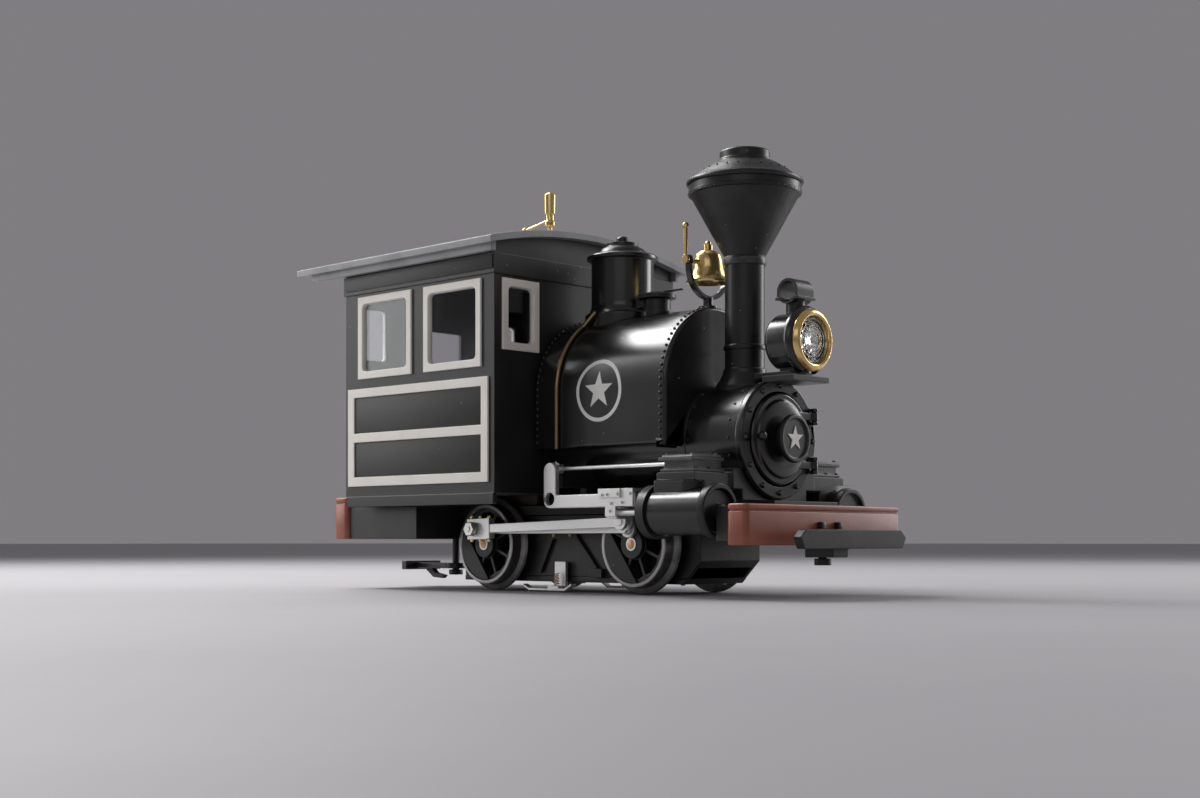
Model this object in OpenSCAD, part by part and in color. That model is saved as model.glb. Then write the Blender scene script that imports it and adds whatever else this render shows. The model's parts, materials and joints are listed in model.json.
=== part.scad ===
// Narrow-gauge saddle-tank locomotive, 1:22.5 class, for 45 mm track.
// +X is forward, +Y is the left side, +Z is up, and Z = 0 is the table under the wheel flanges.

/* [Running gear] */
// Distance between the two axles
wheelbase = 81.5; // [78:0.5:84]
// X of the point midway between the axles
wheel_mid = 3.1; // [2:0.1:4]
// Radius of the wheel tread at its outer face
tread_r = 16; // [15:0.1:16.4]
// Radius of the wheel flange, and the height of the axles
flange_r = 18.9; // [18.5:0.1:19]
// Distance from the centre line to the back of a wheel
wheel_back = 20; // [19.8:0.1:20.2]
// Distance from the centre line to the outer face of a tyre
wheel_face = 26.5; // [26:0.1:26.6]
// Crank throw, half of the piston stroke
crank = 6; // [5:0.1:6.2]

/* [Cylinders and rods] */
// Distance from the centre line to a cylinder's axis
cyl_y = 38.7; // [38.5:0.1:39]
// Height of a cylinder's axis
cyl_z = 30.4; // [30:0.1:30.6]
// Outer radius of a cylinder barrel
cyl_r = 8.6; // [8.4:0.1:8.8]
// Radius of the cylinder covers
cover_r = 9.7; // [9.4:0.1:9.8]
// X of the right crosshead pin with the crank at the top
crosshead_x = 46; // [45:0.1:46]
// Height of the crosshead pins
crosshead_z = 27.2; // [26.8:0.1:27.4]

/* [Boiler and tank] */
// Height of the boiler's axis
boiler_z = 57; // [56.8:0.1:57.2]
// Outer radius of the boiler
boiler_r = 19; // [18.5:0.1:19]
// Outer radius of the smokebox
smokebox_r = 21; // [20.8:0.1:21.2]
// X of the smokebox's front ring face
smokebox_x = 92; // [91.8:0.1:92]
// Half of the saddle tank's width, and the radius of its arch
tank_r = 30; // [29.6:0.1:30.2]
// X of the saddle tank's front face
tank_front = 63; // [62.8:0.1:63.1]
// Height of the saddle tank's lower edge
tank_low = 55.5; // [55:0.1:56]

/* [Fittings] */
// X of the chimney's axis
stack_x = 75.8; // [75.5:0.1:76]
// X of the steam dome's axis
dome_x = 13.9; // [13.5:0.1:14]
// X of the bell's trunnions
bell_x = 58.1; // [58:0.1:58.6]
// Height of the bell's trunnions
bell_z = 124.7; // [124.5:0.1:125]
// Height of the headlamp's axis
lamp_z = 91.7; // [91.6:0.1:92]

/* [Cab] */
// X of the cab's rear face
cab_back = -97.7; // [-98:0.1:-97]
// X of the cab's front face
cab_front = -5.5; // [-5.6:0.1:-5.4]
// Half of the cab's width
cab_half = 50.9; // [50.5:0.1:51]
// X of the roof's rear and front edges, and the end of the front coupler
roof_back = -125.4; // [-126:0.1:-125]
roof_front = -1.6; // [-2:0.1:-1.5]
// Height of the roof's crown
roof_top = 143.1; // [143:0.1:143.5]
// Half of the roof's width
roof_half = 56.1; // [55.8:0.1:56.4]

/* [Hidden] */

$fn = 64;
front_x = wheel_mid + wheelbase / 2;
rear_x = wheel_mid - wheelbase / 2;
axle_z = flange_r;
axle_r = 2.5;
centre_r = 14.5;
hub_r = 5.4;
run_gap = 0.06;
pin_r = 1.5;
rod_len = norm([crosshead_x - rear_x, crosshead_z - axle_z - crank]);
crosshead_left_x = rear_x - crank + sqrt(rod_len * rod_len - pow(crosshead_z - axle_z, 2));
shaft_z = 26.5;
shaft_r = 1;
deck_z = 34.3;
deck_t = 3.8;
block_half = 17.5;
block_top = 30.3;
cyl_back = 68.7;
rear_cover_t = 4.2;
cyl_front = 93.5;
bore_r = 6.4;
rod_r = 1.2;
tank_back = cab_front + 0.2;
tank_arch_z = 107.5 - tank_r;
wall = 2;
ring_t = 3.5;
door_r = 16.8;
hinge_y = 18.8;
hinge_x = smokebox_x + 1.6;
lamp_x = 106;
side_windows = [[-88.7, -54.3], [-46.7, -12.5]];
window_z = [87.3, 121.3];
end_window_y = [27.6, 47];
end_window_z = [93.7, 121.2];
frame_w = 3;
panel_x = [-95.4, -8.5];
panel_z = [42.8, 83.3];
floor_z = 38.5;
roof_t = 2.7;
roof_arc = (roof_half * roof_half + 7.1 * 7.1) / (2 * 7.1);
coupler_pivot_x = 111.2;
rear_pivot_x = -86;
pipe_x = dome_x - 5.8;
filler_x = 35;
filler_y = -3.1;
lid_hinge_x = filler_x - 6.9;
lid_hinge_z = 113.6;
link_hole_x = 121;

// ---- shared helpers ----
// An outline in X and Z, made a plate on the right side from y to y + t
module right_plate(y, t) translate([0, -y, 0]) rotate([90, 0, 0]) linear_extrude(t) children();
module both_sides() { children(); mirror([0, 1, 0]) children(); }
module y_bar(x, z, y0, y1, r) translate([x, -y0, z]) rotate([90, 0, 0]) cylinder(r = r, h = y1 - y0);
module x_bar(x0, x1, y, z, r) translate([x0, y, z]) rotate([0, 90, 0]) cylinder(r = r, h = x1 - x0);
module box(x, y, z) translate([x[0], y[0], z[0]]) cube([x[1] - x[0], y[1] - y[0], z[1] - z[0]]);
module wide(x, half, z) box(x, [-half, half], z);
// A profile of radius and distance, turned about the X axis through height z
module turned_x(x, z) translate([x, 0, z]) rotate([0, 90, 0]) rotate_extrude() children();
module bar2d(a, b, w) {
    len = norm(b - a);
    translate(a) rotate(atan2(b[1] - a[1], b[0] - a[0])) translate([0, -w / 2]) square([len, w]);
}

// ---- chassis ----
module frame_deck() {
    difference() {
        wide([-104, 98], 18.8, [deck_z - deck_t, deck_z]);
        wide([-17, 24], 13, [deck_z - deck_t - 1, deck_z + 1]);
    }
}
module rear_tray() {
    difference() {
        wide([-104, -60], 44, [21, deck_z]);
        wide([-101, -63], 41, [20, deck_z - deck_t]);
    }
}
module guide_yoke() {
    difference() {
        wide([10, 13.5], 33, [deck_z - 0.1, 49.5]);
        x_bar(9, 15, 0, boiler_z, boiler_r + 0.2);
        wide([9, 15], 12.4, [deck_z - 1, 38]);
        both_sides() box([9, 15], [20, 40], [deck_z - 1, 40.5]);
    }
}
module chassis_frame() color("#191919") {
    union() {
        frame_deck();
        rear_tray();
        guide_yoke();
        difference() {
            wide([97.9, 104.3], 43, [20, 32]);
            both_sides() box([97, 105], [25, 35], [19, 26]);
        }
        wide([97.9, 104.3], 18.8, [31, deck_z]);
    }
}
module motor_block() color("#1c1c1c") difference() {
    union() {
        right_plate(-block_half, 2 * block_half)
            polygon([[-60, 6.2], [62.9, 6.2], [69.2, 12.6], [69.2, block_top], [-60, block_top]]);
        wide([-16, 23], 12, [block_top - 0.1, 37.7]);
    }
    wide([-57, 66.5], 15.3, [5, 29]);
    wide([-14.5, 21.5], 10.5, [5, 36.2]);
    for (x = [rear_x, front_x]) y_bar(x, axle_z, -20, 20, axle_r + run_gap);
}
module bottom_cover() color("#161616") difference() {
    right_plate(-block_half, 2 * block_half) polygon([[-60, 4], [60.7, 4], [62.9, 6.2], [-60, 6.2]]);
    for (x = [-54, 4, 56], y = [-12, 12]) translate([x, y, 3]) cylinder(r = 1.1, h = 2);
}
module motor_can() color("#9a9a98") difference() {
    x_bar(-13, 20, 0, shaft_z, 9.4);
    x_bar(-11.4, 18.4, 0, shaft_z, 8.2);
    x_bar(-14, 21, 0, shaft_z, shaft_r + run_gap);
}
module armature() color("#b87333") union() {
    x_bar(-44.5, 51, 0, shaft_z, shaft_r);
    x_bar(-9, 16, 0, shaft_z, 6.6);
    for (x = [rear_x, front_x], turn = [-4:2:4]) x_bar(x + turn - 0.6, x + turn + 0.6, 0, shaft_z, 2.2);
}
module brake_rigging() color("#1a1a1a") both_sides() {
    right_plate(block_half, 1.4) {
        bar2d([4.5, 23], [18, 8], 2.4);
        bar2d([-6.5, 23], [-14.5, 8], 2.4);
        translate([-9, 21]) square([16, 3.2]);
    }
    right_plate(block_half, 2) translate([14.5, 6]) square([6.5, 3.4]);
}
module buffer_beams() color("#8a4a3a") {
    difference() {
        wide([104.3, 113.3], 45.6, [18.6, 32.8]);
        wide([112.9, 114], 50, [28.6, 29.3]);
        translate([coupler_pivot_x, 0, 17]) cylinder(r = pin_r, h = 9);
        both_sides() box([112.4, 114], [4, 6.2], [23, 27]);
    }
    wide([-113.1, -104], 45.6, [20.9, 38.6]);
}
module coupler_pins() color("#2a2a2a") {
    translate([coupler_pivot_x, 0, 11.5]) union() {
        cylinder(r = 3, h = 2.4);
        cylinder(r = pin_r, h = 14.5);
    }
    translate([rear_pivot_x, 0, 5.5]) union() {
        cylinder(r = 3, h = 2.2);
        cylinder(r = pin_r, h = 25);
    }
}
module front_coupler() color("#151515") difference() {
    union() {
        translate([125.4, 0, 0]) rotate([90, 0, -90]) linear_extrude(3.6)
            polygon([[-31.6, 21.4], [-28.6, 24], [28.6, 24], [31.6, 21.4], [29.4, 17.4], [-29.4, 17.4]]);
        wide([117.2, 125.2], 6, [17.4, 24]);
        wide([106.6, 119], 4.6, [14.3, 18.1]);
        translate([coupler_pivot_x, 0, 14.3]) cylinder(r = 4.6, h = 3.8);
    }
    translate([coupler_pivot_x, 0, 13]) cylinder(r = pin_r + run_gap, h = 7);
    translate([link_hole_x, 0, 10]) cylinder(r = 1.5, h = 20);
}
module rear_coupler() color("#151515") difference() {
    union() {
        wide([-108, rear_pivot_x], 3.4, [8.2, 10.6]);
        translate([rear_pivot_x, 0, 8.2]) cylinder(r = 4.4, h = 2.4);
        wide([-111, -107.9], 10, [7.6, 11.4]);
        right_plate(-1.3, 2.6) polygon([[-107, 9], [-100, 4.2], [-94, 3.8], [-92.6, 5.2], [-98.5, 6.2], [-101.5, 9]]);
    }
    translate([rear_pivot_x, 0, 7]) cylinder(r = pin_r + run_gap, h = 6);
}

// ---- wheels and rods ----
module tyre() rotate([90, 0, 0]) rotate_extrude($fn = 96)
    polygon([[centre_r, wheel_back], [flange_r - 0.5, wheel_back], [flange_r, wheel_back + 0.6],
        [flange_r - 0.5, wheel_back + 1.3], [tread_r + 0.5, wheel_back + 2], [tread_r, wheel_face],
        [centre_r, wheel_face]]);
module tyres(x) color("#c9c9cb") translate([x, 0, axle_z]) both_sides() tyre();
module spoke_gap(a) {
    rotate(a) polygon([[5.6, 1.6], [5.6, -1.6], [11.7, -4.1], [12.9, -2.1], [12.9, 2.1], [11.7, 4.1]]);
}
// A wheel centre whose crank lies at angle a, seen from the right
module wheel_centre(a) difference() {
    union() {
        right_plate(wheel_back + 0.4, wheel_face - wheel_back - 1.6) difference() {
            circle(r = centre_r);
            rotate(a) for (i = [0:7]) spoke_gap(i * 45);
        }
        right_plate(wheel_back + 0.4, 27.2 - wheel_back - 0.4) {
            circle(r = hub_r);
            rotate(a) translate([crank, 0]) circle(r = 3.2);
            rotate(a) translate([0, -3.2]) square([crank, 6.4]);
        }
        right_plate(wheel_back + 0.4, 25.9 - wheel_back) intersection() {
            circle(r = centre_r);
            rotate(a + 126) translate([6.9, -centre_r]) square([centre_r, 2 * centre_r]);
        }
    }
    y_bar(0, 0, 0, 30, axle_r);
    rotate([0, -a, 0]) y_bar(crank, 0, 22, 30, pin_r);
}
module wheel_centres(x) color("#141414") translate([x, 0, axle_z]) {
    wheel_centre(90);
    mirror([0, 1, 0]) wheel_centre(180);
}
// Axle with its worm wheel and both crank pins, whose heads start at head_y
module axle(x, head_y) color("#b9bab8") translate([x, 0, axle_z]) {
    y_bar(0, 0, -27.5, 27.5, axle_r);
    y_bar(0, 0, -3, 3, 4.5);
    for (i = [0:15]) rotate([0, i * 22.5, 0]) box([4, 5.05], [-2.6, 2.6], [-0.45, 0.45]);
    y_bar(0, crank, 22.1, head_y + 0.4, pin_r);
    y_bar(0, crank, head_y, head_y + 1.1, 2.5);
    mirror([0, 1, 0]) {
        y_bar(-crank, 0, 22.1, head_y + 0.4, pin_r);
        y_bar(-crank, 0, head_y, head_y + 1.1, 2.5);
    }
}
// A side rod whose rear crank pin is at [x, z]
module side_rod(x, z) color("#c4c4c2") difference() {
    right_plate(27.8, 1.7) {
        translate([x, z]) circle(r = 3.5);
        translate([x + wheelbase, z]) circle(r = 3.5);
        translate([x, z - 1.9]) square([wheelbase, 3.8]);
    }
    for (i = [0, 1]) y_bar(x + i * wheelbase, z, 27, 30, pin_r + run_gap);
}
// A main rod from its crank pin at a to its crosshead pin at b
module main_rod(a, b) color("#c9c9c6") translate([a[0], 0, a[1]])
    rotate([0, -atan2(b[1] - a[1], b[0] - a[0]), 0]) difference() {
        union() {
            right_plate(30, 3.1) translate([-3.6, -4.1]) square([13.2, 8.2]);
            right_plate(31.2, 1.6) {
                polygon([[6, -1.7], [rod_len, -1.9], [rod_len, 1.9], [6, 1.7]]);
                translate([rod_len, 0]) circle(r = 3.2);
            }
        }
        y_bar(0, 0, 29, 34, pin_r + run_gap);
        y_bar(rod_len, 0, 29, 34, pin_r + run_gap);
    }
// A crosshead with its piston rod and piston, whose pin is at x
module crosshead(x) color("#c9c9c6") difference() {
    union() {
        box([x - 5.1, x + 11.7], [-41.4, -34.6], [38, 39.2]);
        box([x - 5.1, x + 11.7], [-41.4, -39.9], [32.7, 39.2]);
        box([x - 5.1, x + 11.7], [-36, -34.6], [32.7, 39.2]);
        box([x - 5.1, x + 5.9], [-42.1, -41.3], [35.8, 39.2]);
        right_plate(34.2, 1.8) {
            translate([x - 3.2, crosshead_z]) square([6.2, 11]);
            translate([x - 0.1, crosshead_z]) circle(r = 3.1);
        }
        box([x - 2.2, x + 3.1], [-cyl_y - 1.9, -34.4], [28.2, 31.9]);
        box([x - 2.2, x + 3.1], [-41.4, -39.9], [29, 33]);
        box([x - 2.2, x + 3.1], [-40.4, -36], [29, 31.9]);
        x_bar(x + 2, x + 33, -cyl_y, cyl_z, rod_r);
        x_bar(x + 32, x + 36, -cyl_y, cyl_z, bore_r - run_gap);
        y_bar(x, crosshead_z, 33.4, 36.4, pin_r);
    }
}
module guide_bars() color("#cfcfcc") both_sides() {
    difference() {
        right_plate(36.9, 2.3) {
            translate([9.3, 35.8]) square([6.6, 10.7]);
            for (z = [35.8, 46.5]) translate([12.6, z]) circle(r = 3.3);
            translate([12.6, 32.5]) square([cyl_back - rear_cover_t - 12.6, 5]);
        }
        y_bar(12.6, 36, 36, 41, 2.4);
    }
    x_bar(14.2, 73, -33.8, 47.6, 0.75);
    right_plate(33, 4) translate([9.6, 45.8]) square([4.6, 3.6]);
}
module cylinders() color("#171717") both_sides() difference() {
    x_bar(cyl_back, cyl_front, -cyl_y, cyl_z, cyl_r);
    x_bar(cyl_back - 1, cyl_front + 1, -cyl_y, cyl_z, bore_r);
}
module cylinder_covers() color("#141414") both_sides() {
    difference() {
        union() {
            translate([0, -cyl_y, 0]) turned_x(cyl_front, cyl_z)
                polygon([[0, 0], [cover_r, 0], [cover_r, 2.7], [cover_r - 0.3, 3], [7.6, 3], [7.6, 1.7], [0, 1.7]]);
            x_bar(cyl_front + 1.6, cyl_front + 3.9, -cyl_y, cyl_z, 2.6);
        }
        x_bar(cyl_front + 2.4, cyl_front + 5, -cyl_y, cyl_z, 1);
    }
    difference() {
        x_bar(cyl_back - rear_cover_t, cyl_back, -cyl_y, cyl_z, cover_r);
        x_bar(cyl_back - rear_cover_t - 1, cyl_back + 1, -cyl_y, cyl_z, rod_r + run_gap);
    }
}
module cylinder_saddle() color("#1b1b1b") difference() {
    union() {
        translate([0, 0, deck_z]) linear_extrude(41.4 - deck_z) {
            translate([70, -44]) square([13, 88]);
            translate([70, -38]) square([19, 76]);
            for (y = [-38, 38]) translate([83, y]) circle(r = 6);
        }
        wide([71.2, 89], 43.8, [41.3, 44.3]);
        wide([64.5, 90], 24, [deck_z, 46]);
    }
    both_sides() x_bar(60, 92, -cyl_y, cyl_z, cyl_r);
    x_bar(60, 95, 0, boiler_z, smokebox_r);
    both_sides() box([64, 91], [18.8, 28.5], [33, 38.6]);
    x_bar(smokebox_x - ring_t, 95, 0, boiler_z, smokebox_r + 1);
    wide([60, 95], 18.6, [33, 34.4]);
}
module steam_chests() color("#2a2a2b") both_sides() {
    union() {
        box([72, 88], [-42.8, -26.2], [44.3, 45.4]);
        box([73, 87], [-41.8, -27], [45.3, 48.4]);
        box([71.6, 87.6], [-43.4, -26], [48.3, 49.5]);
        box([73, 87.4], [-42.9, -27.4], [49.4, 50.3]);
    }
}
module pickup_shoe() color("#b8ab8c") union() {
    box([-15, 5.4], [-24, -21.2], [0.7, 1.5]);
    right_plate(21.2, 2.8) polygon([[5.3, 0.7], [9, 2.8], [9, 3.6], [5.3, 1.5]]);
    right_plate(21.2, 2.8) polygon([[-14.9, 0.7], [-18, 2.4], [-18, 3.2], [-14.9, 1.5]]);
    box([-4, 2], [-24, -18.6], [1.4, 2.6]);
    box([-4, 2], [-20, -18.6], [1.4, 12]);
}

// ---- boiler ----
module boiler() color("#111111") difference() {
    x_bar(tank_back, tank_front, 0, boiler_z, boiler_r);
    x_bar(tank_back + wall, tank_front + 1, 0, boiler_z, boiler_r - wall);
}
module smokebox_barrel() color("#121212") difference() {
    union() {
        x_bar(tank_front, smokebox_x - ring_t, 0, boiler_z, smokebox_r);
        x_bar(tank_front, tank_front + 1.8, 0, boiler_z, smokebox_r + 0.3);
    }
    x_bar(tank_front - 1, smokebox_x, 0, boiler_z, smokebox_r - wall);
    translate([stack_x, 0, 60]) cylinder(r = 5.8, h = 30);
    wide([60, 92], 50, [20, 36.2]);
}
module smokebox_ring() color("#131313") union() {
    turned_x(smokebox_x - ring_t, boiler_z)
        polygon([[door_r + 0.5, 0], [21.5, 0], [22, 0.6], [22, 2.8], [21.4, ring_t], [door_r + 0.5, ring_t]]);
    for (z = [boiler_z - 9, boiler_z + 9], s = [-1, 1]) {
        translate([hinge_x, hinge_y, z + s * 2.4 - 0.7]) cylinder(r = 1.3, h = 1.4);
        box([smokebox_x - 0.5, hinge_x], [hinge_y - 1, hinge_y + 1], [z + s * 2.4 - 0.7, z + s * 2.4 + 0.7]);
        translate([hinge_x, hinge_y, z - 3]) cylinder(r = 0.7, h = 6);
    }
}
module smokebox_door() color("#121212") difference() {
    union() {
        turned_x(smokebox_x - 2, boiler_z)
            polygon([[0, 0], [door_r, 0], [door_r, 2.4], [door_r - 0.6, 3], [door_r - 2.4, 3], [door_r - 3, 3.9],
                [9.4, 4.8], [0, 4.8]]);
        for (z = [boiler_z - 9, boiler_z + 9]) {
            box([smokebox_x + 0.6, smokebox_x + 1.8], [8, hinge_y], [z - 1.3, z + 1.3]);
            translate([hinge_x, hinge_y, z - 1.5]) cylinder(r = 1.3, h = 3);
        }
        x_bar(smokebox_x + 0.5, smokebox_x + 3.4, -14.6, boiler_z + 0.4, 0.8);
        translate([smokebox_x + 3.6, -14.6, boiler_z + 0.4]) sphere(r = 1.7);
    }
    for (z = [boiler_z - 9, boiler_z + 9]) translate([hinge_x, hinge_y, z - 3]) cylinder(r = 0.76, h = 6);
}
module number_plate() color("#101010") union() {
    x_bar(smokebox_x + 2.8, smokebox_x + 6.4, 0, boiler_z, 6.2);
    turned_x(smokebox_x + 5.6, boiler_z)
        polygon([[0, 0.4], [7.6, 0], [8.8, 0.3], [8.8, 1.5], [8.3, 2], [7.3, 2], [7, 1.3], [0, 1.3]]);
}
module tank_arch(r, x0, x1, low) {
    x_bar(x0, x1, 0, tank_arch_z, r);
    wide([x0, x1], r, [low, tank_arch_z]);
}
module saddle_tank() color("#0f0f0f") difference() {
    union() {
        intersection() {
            tank_arch(tank_r, tank_back, tank_front, tank_low);
            wide([tank_back, tank_front], 40, [tank_low, 120]);
        }
        wide([tank_front - 3.2, tank_front], tank_r + 0.5, [tank_low - 0.6, tank_low + 1]);
    }
    difference() {
        tank_arch(tank_r - wall, tank_back + wall, tank_front - wall, tank_low + wall);
        wide([tank_back, tank_front], 40, [tank_arch_z - 60, tank_low + wall]);
    }
    x_bar(tank_back - 1, tank_front + 1, 0, boiler_z, boiler_r);
    wide([tank_back - 1, tank_front + 1], boiler_r, [tank_low - 2, boiler_z]);
}
module steam_dome() color("#131313") difference() {
    translate([dome_x, 0, 0]) rotate_extrude()
        polygon(concat([[0, 100], [14.8, 100], [14.8, 106.4]],
            [for (a = [0:15:90]) [12.25 + 2.6 * (1 - sin(a)), 109 + 4.6 * (1 - cos(a))]],
            [[12.25, 130.4], [14.1, 130.8], [14.1, 132], [13.2, 132.6], [10.2, 133.4], [0, 133.4]]));
    x_bar(dome_x - 30, dome_x + 30, 0, tank_arch_z, tank_r);
    translate([dome_x, 0, 100]) cylinder(r = 10.6, h = 31.5);
}
module dome_cap() color("#141414") translate([dome_x, 0, 0]) rotate_extrude()
    polygon([[0, 133.4], [9.6, 133.4], [8.4, 135.2], [6.3, 136.2], [6.3, 137.6], [2.4, 137.6], [2.4, 139.6],
        [1.6, 140.4], [0, 140.4]]);
module side_pipes() color("#6d5a48") both_sides() difference() {
    union() {
        intersection() {
            translate([pipe_x, 0, tank_arch_z]) rotate([0, 90, 0])
                rotate_extrude() translate([tank_r + 0.9, 0]) circle(r = 0.85);
            box([pipe_x - 2, pipe_x + 2], [-tank_r - 4, -15.4], [tank_arch_z, tank_arch_z + 30]);
        }
        translate([pipe_x, -tank_r - 0.9, tank_low]) cylinder(r = 0.85, h = tank_arch_z - tank_low);
        translate([pipe_x, -16.2, 103.8]) rotate([0, 49.5, 3.6]) cylinder(r = 0.85, h = 8.4);
    }
    x_bar(dome_x - 20, dome_x + 20, 0, tank_arch_z, tank_r);
}
module filler_neck() color("#131313") difference() {
    union() {
        translate([filler_x, filler_y, 104]) cylinder(r = 5.2, h = 9);
        translate([filler_x, filler_y, 104]) cylinder(r = 6.2, h = 4.4);
        for (y = [-2.9, 2.9]) {
            box([lid_hinge_x - 0.9, filler_x - 3], [filler_y + y - 0.8, filler_y + y + 0.8], [110.2, 112.9]);
            translate([lid_hinge_x, filler_y + y + 0.8, lid_hinge_z]) rotate([90, 0, 0]) cylinder(r = 1.1, h = 1.6);
            box([lid_hinge_x - 0.9, lid_hinge_x + 0.9], [filler_y + y - 0.8, filler_y + y + 0.8],
                [110.2, lid_hinge_z]);
        }
        translate([lid_hinge_x, filler_y + 3.6, lid_hinge_z]) rotate([90, 0, 0]) cylinder(r = 0.5, h = 7.2);
    }
    translate([filler_x, filler_y, 90]) cylinder(r = 3.6, h = 30);
    x_bar(0, 60, 0, tank_arch_z, tank_r);
}
module filler_lid() color("#141414") difference() {
    union() {
        translate([filler_x, filler_y, 113.3]) cylinder(r = 7.4, h = 1.7);
        translate([filler_x, filler_y, 114.9]) cylinder(r = 4.6, h = 0.7);
        box([lid_hinge_x, filler_x - 5], [filler_y - 1.8, filler_y + 1.8], [113.3, 114.6]);
        translate([lid_hinge_x, filler_y + 1.8, lid_hinge_z]) rotate([90, 0, 0]) cylinder(r = 1.1, h = 3.6);
        box([filler_x - 3, filler_x + 13], [filler_y - 0.8, filler_y + 0.8], [115.4, 116.2]);
    }
    translate([lid_hinge_x, filler_y + 4, lid_hinge_z]) rotate([90, 0, 0]) cylinder(r = 0.56, h = 8);
    for (y = [-2.9, 2.9])
        box([lid_hinge_x - 3, lid_hinge_x + 1.6], [filler_y + y - 1, filler_y + y + 1], [112, 116]);
}

// ---- bell ----
module bell_stand() color("#1b1b1b") difference() {
    union() {
        intersection() {
            translate([bell_x - 1.2, 0, 122.8]) rotate([0, 90, 0]) cylinder(r = 11.9, h = 2.4);
            wide([bell_x - 2, bell_x + 2], 12, [110, 122.8]);
        }
        both_sides() box([bell_x - 1.2, bell_x + 1.2], [10.4, 11.9], [122.7, 125]);
        both_sides() y_bar(bell_x, bell_z, 10.4, 11.9, 2);
        translate([bell_x, 0, 106.6]) cylinder(r = 3.6, h = 1.9);
        translate([bell_x, 0, 106.6]) cylinder(r = 1.8, h = 5.2);
    }
    translate([bell_x - 2, 0, 122.8]) rotate([0, 90, 0]) cylinder(r = 10.4, h = 4);
    y_bar(bell_x, bell_z, -13, 13, 0.96);
    x_bar(bell_x - 10, tank_front + 2, 0, tank_arch_z, tank_r);
}
module bell() color("#c9a24a") union() {
    translate([bell_x, 0, 117.2]) rotate_extrude()
        polygon([[8.2, 0], [8.3, 0.8], [7.2, 2.2], [6.1, 5], [5.5, 8.6], [4.9, 10.6], [3.4, 12], [0, 12.5],
            [0, 11.3], [3, 10.9], [4, 9.8], [4.6, 8.2], [5.2, 4.8], [6.4, 1.6], [7.4, 0]]);
    translate([bell_x, 0, 129.5]) cylinder(r = 1.7, h = 2.2);
    translate([bell_x, 0, 132.2]) sphere(r = 1.1);
    both_sides() y_bar(bell_x, bell_z, 5.3, 12.4, 0.9);
    y_bar(bell_x, bell_z, 12.3, 13.5, 1.6);
    box([bell_x - 0.6, bell_x + 0.6], [-13.4, -12.4], [bell_z, 137]);
    translate([bell_x, -12.9, 137.4]) sphere(r = 1.2);
}
module bell_clapper() color("#8f7433") union() {
    translate([bell_x, 0, 119.5]) cylinder(r = 0.5, h = 8.2);
    translate([bell_x, 0, 118.6]) sphere(r = 1.2);
    y_bar(bell_x, 127.4, -0.9, 0.9, 0.9);
}

// ---- chimney ----
module stack_pipe() color("#151515") translate([stack_x, 0, 0]) difference() {
    rotate_extrude()
        polygon([[5.8, 70], [11, 70], [11, 77], [9.4, 79.2], [8.2, 81.6], [7.9, 83.4], [7.35, 83.6],
            [7.35, 90.4], [7.9, 90.6], [7.9, 92], [7.35, 92.2], [7.35, 121.9], [5.8, 121.9]]);
    translate([-stack_x, 0, 0]) x_bar(50, 100, 0, boiler_z, smokebox_r);
}
module stack_cone() color("#1a1a1a") translate([stack_x, 0, 0]) rotate_extrude()
    polygon([[5.8, 121.9], [7.9, 121.9], [7.9, 124.4], [7.5, 124.8], [20.1, 147.6], [20.7, 147.8], [20.7, 151.4],
        [19.4, 151.4], [19.2, 148.4], [6.6, 125.6]]);
module stack_cap() color("#141414") translate([stack_x, 0, 0]) rotate_extrude()
    polygon([[19.2, 151.4], [21.3, 151.4], [21.7, 152.1], [21.4, 153], [19.4, 154], [16, 156.6], [12.6, 158.8],
        [9.9, 160], [9.9, 160.6], [9.3, 160.9], [9.3, 163.4], [8.8, 164], [7.4, 164], [7.4, 160], [11.6, 157.6],
        [15.4, 155.2], [18.4, 152.8], [19.2, 152.4]]);

// ---- headlamp ----
module lamp_platform() color("#171717") union() {
    wide([85.3, 102], 6.6, [79, 80.8]);
    wide([smokebox_x + 0.4, 106.2], 10.8, [77, 79.1]);
    wide([95, 102.2], 4, [80.7, 82.2]);
}
module lamp_body() color("#141414") difference() {
    turned_x(0, lamp_z) polygon([[0, 91.2], [6.4, 91.4], [9.6, 92.6], [10.3, 94], [10.3, 102.8], [12.4, 103.2],
        [12.5, 104.6], [12, 105.4], [11.3, lamp_x], [0, lamp_x]]);
    x_bar(94, 110, 0, lamp_z, 9.3);
    wide([90, 110], 4, [70, 82.2]);
}
module lamp_bezel() color("#c7a050") turned_x(lamp_x, lamp_z)
    polygon([[8.5, 0], [11.1, 0], [11.2, 0.7], [10.4, 2], [9.4, 2.4], [8.7, 2], [8.5, 1.2]]);
module lamp_lens() color("#dfe6e8") turned_x(lamp_x, lamp_z)
    polygon([[0, -1.6], [9.25, -1.6], [9.25, -0.1], [8.4, 0], [6.4, 0.9], [3.4, 1.6], [0, 1.8]]);
module lamp_bulb() color("#e6e0c8") union() {
    x_bar(94, 97.6, 0, lamp_z, 2.4);
    translate([98.4, 0, lamp_z]) sphere(r = 2.2);
}
module lamp_chimney() color("#151515") difference() {
    union() {
        translate([99.1, 0, 100]) cylinder(r = 3.35, h = 6.7);
        wide([93.9, 104.3], 5.2, [106.5, 107.5]);
        right_plate(-5, 10) {
            translate([99.1, 109.6]) circle(r = 4.6);
            translate([94.5, 107.4]) square([9.2, 2.2]);
        }
    }
    x_bar(90, 110, 0, lamp_z, 10.3);
    right_plate(-9, 18) {
        translate([99.1, 109.6]) circle(r = 3.5);
        translate([95.6, 107.5]) square([7, 2.1]);
    }
    box([102.8, 105], [-9, 9], [100, 105.6]);
}

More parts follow.
